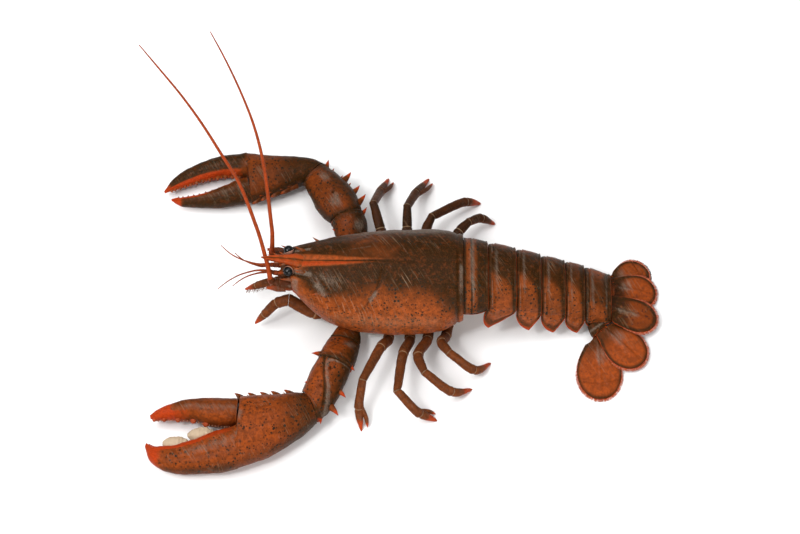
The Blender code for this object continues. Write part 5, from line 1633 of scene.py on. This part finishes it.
def build_abdomen(material, hair_material):
    hairs = []
    chance = np.random.default_rng(RANDOM_SEED + 1)
    for number, (first, last) in enumerate(zip(ABDOMEN, ABDOMEN[1:])):
        first_one, last_one = number == 0, number == len(PLEURA) - 1
        shares = np.linspace(0, 1, int((last[0] - first[0]) / ABDOMEN_SPACING))
        shares = shares - 0.03 * np.sin(2 * math.pi * shares)
        grid = abdomen_grid(number, shares)
        _, s = girth(grid)
        down = ring_index(grid) - ABDOMEN_ARCH
        upper = (down < ABDOMEN_PLATE).astype(float)
        arch = (down < 0).astype(float)
        plate = smooth(-2, 4, down) * upper
        edge = smooth(9, 15, down) * upper
        place = shares[:, None]
        bow = place - 0.05 * smooth(6, 30, s)
        fold = bow - (0.31 if first_one else 0.16)
        height = 0.25 * waves(grid, 10.0) + 0.18 * waves(grid, 4.0, 2.0)
        height = height + arch * (
            0.35 * bell(fold - 0.04, 0.03) - 0.55 * bell(fold, 0.022)
            + 0.4 * bell(place - 0.95, 0.025) - 0.3 * bell(place - 0.89, 0.02)
        )
        height = height + 0.5 * edge - 0.5 * bell(down - 8.5, 1.8) * upper
        height = height + 0.7 * bell(down + 2, 4) * bell(place - 0.3, 0.12)
        grid = above_floor(swell(grid, height * (0.7 if first_one else 1.0) * upper))
        collar = plateau(place, 0.02, 0.06, 0.27, 0.32) * first_one
        dark = abdomen_darkness(number, place, s, grid[..., 1] > 0, collar)
        rear = smooth(0.94, 0.975, place) * arch
        outline = smooth(6, 11, down) * upper
        band = bell(bow - 0.27, 0.08) * smooth(30, 10, s)
        rim = 0.4 * bell(down - 4, 1.6) * plate
        form = Form(
            grid,
            dark=(dark * (1 - 0.7 * rear) + 0.6 * outline * (1 - edge) + 0.3 * edge) * upper,
            red=(0.45 * rear + 0.6 * edge + 0.2 * plate + 0.1 * collar) * upper,
            pale=0.5 * (1 - upper),
            # Painted highlights: a band near the front, a line across and a rim on the side plates.
            grey=(0.6 * band + 0.7 * abdomen_shine(number, place, s) + rim) * upper,
            spots=(smooth(5, 12, s) + 0.7 * first_one + 0.5 * last_one) * upper
            * (1 - 0.7 * edge),
            scratch=0.8 * bell(place - 0.35, 0.16) * smooth(26, 8, s) * upper * (not last_one),
        )
        if number + 1 in SWIMMERET_SEGMENTS:
            add_swimmerets(form, (np.array(first) + last) / 2, hairs, chance)
        node = f"abdomen_{number + 1}"
        make_piece("shell_" + node, form, material, (node,))
    root, way, length, place = zip(*hairs)
    hair_piece("swimmeret_hair", root, way, length, 0.07, place, hair_material)


def add_swimmerets(form, section, hairs, chance):
    """Pair of fringed paddles under the middle section of one segment."""
    x, half, top, middle = section
    belly = min(top - half * 2 * BELLY_SHARE, middle - 8.0)
    size = half / ABDOMEN[1][1]
    for turn in (-1, 1):
        rows = [
            (x + along * size, y * size * turn, belly + rise * size, wide, deep)
            for along, y, rise, wide, deep in SWIMMERET
        ]
        grid, run = tube_grid(rows, *TUBES["swimmeret"])
        grid = above_floor(grid)
        form.add_grid(grid, pale=0.35, red=0.5, spots=0.2)
        line = grid.mean(axis=1)
        for _ in range(SWIMMERET_HAIRS):
            at = int(chance.uniform(0.45, 0.99) * (len(run) - 1))
            aside = chance.choice((-1, 1))
            across = unit(grid[at, 0] - line[at]) * aside
            width = np.linalg.norm(grid[at, 0] - line[at])
            ahead = unit(line[min(at + 1, len(run) - 1)] - line[at - 1])
            tip = max(0, run[at] / run[-1] - 0.8) * 5
            root = line[at] + across * width * 0.9
            way = across * (1.2 - tip) + ahead * (0.7 + tip)
            place = (
                0.2 + 0.03 * len(hairs) / 1200 + run[at] * METRES,
                0.3 + 0.01 * turn + aside * width * METRES,
            )
            hairs.append((root, way, chance.uniform(1.4, 2.6), place))


def blade_width(share, root_width):
    past = np.clip((share - BLADE_WIDEST) / (1 - BLADE_WIDEST), 0, 1)
    before = np.sin(np.clip(share / BLADE_WIDEST, 0, 1) * math.pi / 2)
    return np.where(
        share > BLADE_WIDEST,
        np.sqrt(np.maximum(1 - past**2, 0)),
        root_width + (1 - root_width) * before,
    )


def blade_fringe(root, way, level, length, blade_form, patch):
    """Hairs round a blade's rim: roots, directions, lengths and places."""
    half, root_width = blade_form[3:]
    chance = np.random.default_rng(RANDOM_SEED + patch)
    angle = np.sort(chance.uniform(-0.6 * math.pi, 0.6 * math.pi, FRINGE_HAIRS))
    past = np.cos(angle)
    share = np.where(
        past > 0, BLADE_WIDEST + (1 - BLADE_WIDEST) * past, BLADE_WIDEST * (1 + past * 1.3)
    )
    aside = np.where(past > 0, np.sin(angle), np.sign(angle) * blade_width(share, root_width))
    foot = root + way * (length * share)[:, None] + level * (half * aside)[:, None]
    front = way * (past / (1 - BLADE_WIDEST) / length)[:, None] + level * (aside / half)[:, None]
    spread = chance.normal(0, 0.09, (FRINGE_HAIRS, 3)) * (1, 1, 0.6)
    front = units(units(front) + way * 0.55 + spread)
    foot = foot - front * 0.5
    foot[:, 2] -= 0.6 + chance.uniform(-0.3, 0.3, FRINGE_HAIRS)
    foot[:, 2] = np.maximum(foot[:, 2], 0.25)
    size = chance.uniform(0.8, 1.1, FRINGE_HAIRS) * (1.0 + 1.9 * smooth(0.3, 0.75, share))
    places = np.stack(
        [0.12 * patch + share * length * METRES, 0.1 + aside * half * METRES], axis=1
    )
    return foot, front, size, places


def blade(
    name, node, root, blade_form, start, material, patch, seam=False, shade=0.0, banded=False
):
    """Flat blade of the tail fan, with a keel, fine ribs and a rim. Gives its fringe."""
    root = np.asarray(root, float)
    tip = np.array(blade_form[:3])
    half, root_width = blade_form[3:]
    way = unit(tip - root)
    length = np.linalg.norm(tip - root)
    turn = np.linspace(0, 1, BLADE_RINGS)
    shares = np.where(turn < 0.5, turn, 0.5 + 0.498 * np.sin((turn - 0.5) * math.pi))
    width = blade_width(shares, root_width)
    level = unit(np.cross(way, (0, 0, 1)))
    mix = np.clip(1 - shares / 0.12, 0, 1)[:, None]
    across = units(level * (1 - mix) + unit(np.cross(start, (0, 0, 1))) * mix)
    thin = np.minimum(1, shares * 3)
    thick = ROOT_HALF_THICKNESS * (1 - thin) + BLADE_HALF_THICKNESS * thin
    line = np.cos(np.linspace(0, math.pi, BLADE_HALF_RING))
    u = np.concatenate([line, line[-2:0:-1]])
    side = np.concatenate([np.ones(BLADE_HALF_RING), -np.ones(BLADE_HALF_RING - 2)])
    rise = np.sqrt(np.maximum(1 - np.abs(u) ** 5, 0)) * side
    top = (side > 0).astype(float)
    place = shares[:, None]
    offset = u * half * width[:, None]
    grid = (root + way * length * place)[:, None] + across[:, None] * offset[..., None]
    beyond = np.clip((place - BLADE_WIDEST) / (1 - BLADE_WIDEST), 0, 1)
    to_tip = (1 - np.hypot(u * width[:, None], beyond)) * min(half, length * (1 - BLADE_WIDEST))
    to_side = np.minimum((1 - np.abs(u)) * (half * width)[:, None], 99)
    to_edge = np.where(place > BLADE_WIDEST, to_tip, to_side)
    fan = np.arctan2(offset, place * length + 8.0)
    height = (
        0.9 * bell(offset, 1.5) * smooth(0.95, 0.7, place)
        - 0.2 * bell(np.abs(offset) - 2.2, 0.8) * smooth(0.9, 0.5, place)
        + 0.2 * bell(to_edge - 0.8, 0.7)
        + 0.09 * np.cos(fan * 150) * smooth(0.25, 0.6, place) * smooth(7, 1.5, to_edge)
        + 0.3 * waves(grid, 6.0) * smooth(0, 3, to_edge)
    )
    dark = shade + 0.95 * smooth(3.8, 0.2, to_edge) * smooth(0.0, 0.2, place)
    if seam:
        gap = place - SEAM_PLACE + 0.05 * u**2
        height = height - 0.3 * bell(gap, 0.012) + 0.15 * bell(gap + 0.03, 0.018)
        dark = dark + 0.15 * bell(gap, 0.014)
    droop = -0.9 * smooth(0.5, 1.0, np.abs(u)) * smooth(0.05, 0.5, place)
    grid[..., 2] += thick[:, None] * rise + height * top * smooth(0, 0.8, to_edge) + 0.5 * droop
    # The telson's lighter middle band is painted highlight, given by the band below and by the pale
    # mark.
    if banded:
        shine = 0.35 * bell(u, 0.3) * plateau(place, 0.08, 0.16, 0.56, 0.66)
    else:
        shine = 0.65 * bell(place - 0.3, 0.16) * bell(u + 0.25, 0.5)
    middle = smooth(0.55, 0.2, np.abs(u + 0.04)) * plateau(place, 0.04, 0.2, 0.5, 0.7)
    form = Form(
        above_floor(grid),
        dark=(dark + 0.75 * smooth(0.5, 0.05, place)) * top,
        red=0.7 * smooth(0.5, 0.1, to_edge),
        grey=(0.3 * bell(offset, 1.1) * smooth(0.9, 0.5, place) + shine) * top,
        pale=0.3 * middle * banded,
        spots=(0.25 + shade) * smooth(1.5, 4, to_edge),
        scratch=0.8 * bell(place - 0.4, 0.2) * bell(u + 0.2, 0.5) * top,
    )
    if seam:
        for aside in np.linspace(-0.8, 0.8, SEAM_SPINES):
            at = SEAM_PLACE - 0.05 * aside**2
            reach = half * float(blade_width(np.array(at), root_width)) * aside
            foot = root + way * length * at + level * reach + np.array([0, 0, 0.55])
            end = foot + way * 1.1 + np.array([0, 0, 0.2])
            thorn(form, foot, end, 0.3, sides=8, red=0.3, dark=0.4)
    make_piece(name, form, material, (node,))
    return blade_fringe(root, way, level, length, blade_form, patch)


def build_tail(material, hair_material):
    hairs = [
        blade(
            "tail_middle", "telson", TELSON_ROOT, TELSON, (1, 0, 0), material, 1,
            shade=0.5, banded=True,
        )
    ]
    for side, turn, rows, inner, outer in (
        ("left", -1, UROPOD_BASE_LEFT, UROPOD_INNER_LEFT, UROPOD_OUTER_LEFT),
        ("right", 1, UROPOD_BASE_RIGHT, UROPOD_INNER_RIGHT, UROPOD_OUTER_RIGHT),
    ):
        end = np.array(rows[-1][:3])
        way = unit((end - np.array(rows[-2][:3])) * (1, 1, 0))
        across = unit(np.cross((0, 0, 1), way)) * turn
        grid, run = tube_grid(rows, *TUBES["uropod_foot"], power=3.0, end=way, turn=2.0)
        share = share_of(run)
        grid = swell(grid, 0.2 * waves(grid, 3.0) - 0.4 * bell(share - 0.9, 0.05))
        form = Form(
            above_floor(grid), dark=1.1 - 0.3 * smooth(0.85, 1, share),
            red=0.5 * smooth(0.9, 1, share), grey=0.9 * bell(share - 0.45, 0.12), spots=0.4,
        )
        for aside in (-0.75, -0.05, 0.7):
            foot = end + across * aside * rows[-1][3] - way * 1.4 + np.array([0, 0, 3.0])
            thorn(form, foot, foot + way * 2.6, 0.9, sides=16, red=0.5, dark=0.5)
        if turn > 0:
            grid, _ = tube_grid(TAIL_JOINT_SKIN, *TUBES["tail_joint"])
            form.add_grid(grid, dark=0.55, red=0.25, grey=0.2)
        make_piece(f"tail_{side}_foot", form, material, (f"uropod_{side}_base",))
        for kind, blade_form, shift, rise in (
            ("inner", inner, -ROOT_SHIFT, INNER_ROOT_RISE),
            ("outer", outer, ROOT_SHIFT, OUTER_ROOT_RISE),
        ):
            root = end + across * shift + way * GAP + np.array([0, 0, rise])
            fringe = blade(
                f"tail_{side}_{kind}", f"uropod_{side}_{kind}", root, blade_form, way,
                material, len(hairs) + 1, seam=kind == "outer",
                # Right blades, on the far side, are darker: painted shade.
                shade=0.22 if turn > 0 else 0.0,
            )
            hairs.append(fringe)
    foot, front, size, places = map(np.concatenate, zip(*hairs))
    hair_piece("tail_hair", foot, front, size, 0.085, places, hair_material, 0.05)


# Materials
class Nodes:
    """Short calls for building a material's nodes."""

    def __init__(self, name):
        self.material = bpy.data.materials.new(name)
        self.material.use_nodes = True
        self.tree = self.material.node_tree
        self.shader = self.tree.nodes["Principled BSDF"]
        place = self.node("ShaderNodeTexCoord").outputs["Object"]
        self.place = self.vector("SCALE", place, scale=1 / METRES)

    def node(self, kind, **values):
        made = self.tree.nodes.new(kind)
        for name, value in values.items():
            setattr(made, name, value)
        return made

    def link(self, value, socket):
        if isinstance(value, bpy.types.NodeSocket):
            self.tree.links.new(value, socket)
        else:
            socket.default_value = value

    def math(self, operation, first, second=0.0, third=0.0):
        made = self.node("ShaderNodeMath", operation=operation)
        for value, socket in zip((first, second, third), made.inputs):
            self.link(value, socket)
        return made.outputs[0]

    def times(self, first, second):
        return self.math("MULTIPLY", first, second)

    def vector(self, operation, first, second=None, scale=None):
        made = self.node("ShaderNodeVectorMath", operation=operation)
        self.link(first, made.inputs[0])
        if second is not None:
            self.link(second, made.inputs[1])
        if scale is not None:
            self.link(scale, made.inputs["Scale"])
        return made.outputs[0]

    def attribute(self, name):
        return self.node("ShaderNodeAttribute", attribute_name=name).outputs["Fac"]

    def noise(self, scale, detail=4.0, rough=0.55, place=None, warp=0.0, output="Fac"):
        made = self.node("ShaderNodeTexNoise")
        self.link(self.place if place is None else place, made.inputs["Vector"])
        made.inputs["Scale"].default_value = scale
        made.inputs["Detail"].default_value = detail
        made.inputs["Roughness"].default_value = rough
        made.inputs["Distortion"].default_value = warp
        return made.outputs[output]

    def cells(self, scale, jitter=1.0, place=None):
        made = self.node("ShaderNodeTexVoronoi")
        self.link(self.place if place is None else place, made.inputs["Vector"])
        made.inputs["Scale"].default_value = scale
        made.inputs["Randomness"].default_value = jitter
        return made

    def step(self, value, low, high, start=0.0, end=1.0):
        made = self.node("ShaderNodeMapRange", interpolation_type="SMOOTHSTEP")
        self.link(value, made.inputs["Value"])
        for name, number in (
            ("From Min", low), ("From Max", high), ("To Min", start), ("To Max", end),
        ):
            made.inputs[name].default_value = number
        return made.outputs["Result"]

    def mix(self, share, first, second):
        made = self.node("ShaderNodeMix", data_type="RGBA")
        self.link(share, made.inputs["Factor"])
        for value, socket in ((first, made.inputs["A"]), (second, made.inputs["B"])):
            self.link((*value, 1) if isinstance(value, tuple) else value, socket)
        return made.outputs["Result"]

    def spread(self, value, amount, noise_value):
        """The value, raised or lowered by noise about its middle."""
        return self.math("ADD", value, self.times(self.math("SUBTRACT", noise_value, 0.5), amount))

    def bump(self, height, distance, strength):
        made = self.node("ShaderNodeBump")
        self.link(height, made.inputs["Height"])
        made.inputs["Distance"].default_value = distance
        made.inputs["Strength"].default_value = strength
        self.link(made.outputs["Normal"], self.shader.inputs["Normal"])

    def surface(self, colour, rough, specular=0.5):
        """Links the shader and gives the material."""
        self.link(colour, self.shader.inputs["Base Color"])
        self.link(rough, self.shader.inputs["Roughness"])
        self.link(specular, self.shader.inputs["Specular IOR Level"])
        return self.material


def spot_mask(nodes, scale, size, presence, soft=0.08):
    shift = nodes.vector("SCALE", nodes.noise(1.1, 2.0, 0.5, output="Color"), scale=0.9)
    cells = nodes.cells(scale, place=nodes.vector("ADD", nodes.place, shift))
    chance = nodes.node("ShaderNodeSeparateColor")
    nodes.link(cells.outputs["Color"], chance.inputs[0])
    reach = nodes.math("MULTIPLY_ADD", chance.outputs[1], size * 0.6, size * 0.55)
    near = nodes.math("SUBTRACT", reach, cells.outputs["Distance"])
    inside = nodes.step(near, -soft / 2, soft / 2)
    present = nodes.step(chance.outputs[0], 1 - presence, 1.02 - presence)
    return nodes.times(inside, present)


def shell_skin(name, light, deep, dark, red, pale, spot, gloss, spot_scale):
    nodes = Nodes(name)
    broad = nodes.noise(0.055, 5.0, 0.6, warp=0.6)
    medium = nodes.noise(0.3, 6.0, 0.62, warp=0.4)
    small = nodes.noise(1.1, 5.0, 0.6)
    fine = nodes.noise(4.0, 3.0, 0.6)
    colour = nodes.mix(nodes.step(medium, 0.35, 0.68), deep, light)
    colour = nodes.mix(nodes.step(small, 0.5, 0.8, 0.0, 0.26), colour, dark)
    dark_share = nodes.spread(nodes.spread(nodes.attribute("dark"), 0.9, broad), 0.7, medium)
    dark_share = nodes.spread(dark_share, 0.45, small)
    dark_tone = nodes.mix(
        nodes.step(small, 0.35, 0.7), tuple(0.5 * part for part in dark),
        tuple(1.3 * part for part in dark),
    )
    warm_tone = nodes.mix(0.5, dark_tone, deep)
    dark_tone = nodes.mix(nodes.step(medium, 0.48, 0.7, 0.0, 0.75), dark_tone, warm_tone)
    colour = nodes.mix(nodes.step(dark_share, 0.05, 1.05, 0.0, 0.97), colour, dark_tone)
    spots_here = nodes.attribute("spots")
    large = spot_mask(nodes, spot_scale, 0.36, 0.68)
    little = spot_mask(nodes, spot_scale * 1.9, 0.34, 0.32)
    crowd = nodes.step(nodes.noise(0.07, 2.0), 0.35, 0.6, 0.45, 1.0)
    spots_here = nodes.times(spots_here, crowd)
    spots = nodes.math("MAXIMUM", large, nodes.times(little, 0.8))
    spots = nodes.times(spots, spots_here)
    colour = nodes.mix(nodes.times(spots, 0.97), colour, spot)
    freckle = nodes.step(nodes.noise(2.3, 2.0, 0.5), 0.66, 0.74, 0.0, 0.3)
    colour = nodes.mix(freckle, colour, light)
    turned = nodes.node("ShaderNodeVectorRotate", rotation_type="Z_AXIS")
    nodes.link(nodes.place, turned.inputs["Vector"])
    turned.inputs["Angle"].default_value = -0.55
    lengthwise = nodes.vector("MULTIPLY", turned.outputs[0], (0.5, 0.05, 0.3))
    # Long streaks of the highlight colour all over: painted highlight.
    highlight_streak = nodes.noise(1.0, 5.0, 0.6, place=lengthwise)
    highlight_streak = nodes.times(nodes.step(highlight_streak, 0.57, 0.72), nodes.step(medium, 0.45, 0.6))
    grey_tone = nodes.mix(nodes.step(small, 0.25, 0.75), HIGHLIGHT_DEEP, HIGHLIGHT_LIGHT)
    colour = nodes.mix(nodes.times(highlight_streak, 0.22), colour, grey_tone)
    # Pale scratches, partly wear and partly painted highlight hatching.
    thinner = nodes.vector("MULTIPLY", turned.outputs[0], (0.9, 0.09, 0.5))
    streak = nodes.noise(1.0, 4.0, 0.6, place=thinner)
    longer = nodes.vector("MULTIPLY", turned.outputs[0], (1.1, 0.04, 0.07))
    scratch = nodes.step(nodes.noise(1.0, 2.5, 0.55, place=longer), 0.55, 0.66)
    scratch_share = nodes.math(
        "MAXIMUM", nodes.attribute("scratch"), nodes.step(broad, 0.52, 0.6, 0.0, 0.3),
    )
    scratch = nodes.times(scratch, scratch_share)
    colour = nodes.mix(nodes.times(scratch, 0.3), colour, pale)
    # Painted highlight where its mark is set, broken into streaks.
    grey_share = nodes.spread(nodes.attribute("grey"), 1.3, streak)
    colour = nodes.mix(nodes.step(grey_share, 0.15, 1.0, 0.0, 0.62), colour, grey_tone)
    red_share = nodes.spread(nodes.attribute("red"), 0.55, medium)
    red_tone = nodes.mix(nodes.step(small, 0.3, 0.7), tuple(0.55 * part for part in red), red)
    colour = nodes.mix(nodes.step(red_share, 0.3, 0.8, 0.0, 0.95), colour, red_tone)
    pale_share = nodes.spread(nodes.attribute("pale"), 0.4, small)
    colour = nodes.mix(nodes.step(pale_share, 0.2, 0.95, 0.0, 0.95), colour, pale)
    rough = nodes.spread(nodes.step(small, 0.25, 0.75, gloss, gloss + 0.2), 0.12, fine)
    pits = nodes.cells(0.75)
    dent = nodes.step(pits.outputs["Distance"], 0.0, 0.38)
    grain = nodes.times(fine, 0.35)
    height = nodes.math("ADD", nodes.times(dent, 0.5), grain)
    height = nodes.math("ADD", height, nodes.times(small, 0.9))
    nodes.bump(height, 0.0005, 0.3)
    return nodes.surface(colour, rough, SHELL_SPECULAR)


def eye_skin():
    nodes = Nodes("eye_skin")
    rim = nodes.step(nodes.spread(nodes.attribute("pale"), 0.2, nodes.noise(1.5)), 0.35, 0.65)
    colour = nodes.mix(nodes.attribute("dark"), nodes.mix(rim, EYE_BLACK, EYE_RIM), EYE_STALK)
    fine = nodes.step(nodes.noise(5.0), 0.3, 0.7, 0.06, 0.12)
    nodes.bump(nodes.cells(9.0, jitter=0.3).outputs["Distance"], 0.00003, 0.5)
    return nodes.surface(colour, nodes.math("ADD", nodes.times(rim, 0.3), fine), 0.25)


def hair_skin(name, first, second):
    nodes = Nodes(name)
    colour = nodes.mix(nodes.step(nodes.noise(0.8, 4.0), 0.35, 0.65), first, second)
    nodes.bump(nodes.noise(6.0), 0.00005, 0.4)
    return nodes.surface(colour, nodes.step(nodes.noise(2.0), 0.3, 0.7, 0.45, 0.65))


def floor_skin():
    nodes = Nodes("floor_skin")
    tone = nodes.noise(0.02, 3.0)
    colour = nodes.mix(nodes.step(tone, 0.3, 0.7), *FLOOR_TONES)
    nodes.bump(nodes.noise(1.5), 0.00005, 0.1)
    return nodes.surface(colour, nodes.step(tone, 0.3, 0.7, 0.7, 0.78), 0.2)


# Floor, lamps and camera
def build_stage():
    mesh = bpy.data.meshes.new("floor")
    corners = [(x * FLOOR_REACH, y * FLOOR_REACH, 0) for x, y in FLOOR_CORNERS]
    mesh.from_pydata(corners, [], [(0, 1, 2, 3)])
    mesh.materials.append(floor_skin())
    floor = bpy.data.objects.new("floor", mesh)
    bpy.context.scene.collection.objects.link(floor)
    world = bpy.data.worlds.new("studio")
    bpy.context.scene.world = world
    world.use_nodes = True
    back = world.node_tree.nodes["Background"]
    back.inputs["Color"].default_value = (1.0, 1.0, 1.0, 1)
    back.inputs["Strength"].default_value = WORLD_STRENGTH
    for name, place, size, power in LAMPS:
        light = bpy.data.lights.new(name, "AREA")
        light.size = size
        light.energy = power
        lamp = bpy.data.objects.new(name, light)
        lamp.location = place
        aim = Vector(LAMP_AIM) - Vector(place)
        lamp.rotation_euler = aim.to_track_quat("-Z", "Y").to_euler()
        bpy.context.scene.collection.objects.link(lamp)
    camera_data = bpy.data.cameras.new("camera")
    camera_data.lens = CAMERA_LENS
    camera_data.sensor_width = CAMERA_SENSOR
    camera_data.clip_end = 100
    camera = bpy.data.objects.new("camera", camera_data)
    lean = math.radians(CAMERA_ELEVATION)
    aim = Vector((-CENTRE_X * METRES, -CENTRE_Y * METRES, CAMERA_HEIGHT * METRES))
    back_way = Vector((0, -math.cos(lean), math.sin(lean)))
    camera.location = aim + back_way * CAMERA_DISTANCE
    camera.rotation_euler = (-back_way).to_track_quat("-Z", "Y").to_euler()
    bpy.context.scene.collection.objects.link(camera)
    bpy.context.scene.camera = camera
    bpy.context.scene.view_settings.view_transform = "Standard"


def build_scene():
    shell, claw, leg, tail, feeler = (shell_skin(name, *form) for name, form in SKINS.items())
    eye = eye_skin()
    hair = hair_skin("hair_skin", *RED_HAIR)
    brown_hair = hair_skin("brown_hair_skin", *BROWN_HAIR)
    build_carapace(shell)
    build_head(shell, eye)
    build_under(leg)
    build_abdomen(shell, brown_hair)
    build_tail(tail, hair)
    build_arm("left", ARM_LEFT, CRUSHER[0], claw)
    build_arm("right", ARM_RIGHT, CUTTER[0], claw)
    build_claws(claw)
    for name in LEGS:
        build_leg(name, leg)
    build_maxillipeds(leg, brown_hair)
    build_feelers(feeler)
    build_stage()


build_scene()
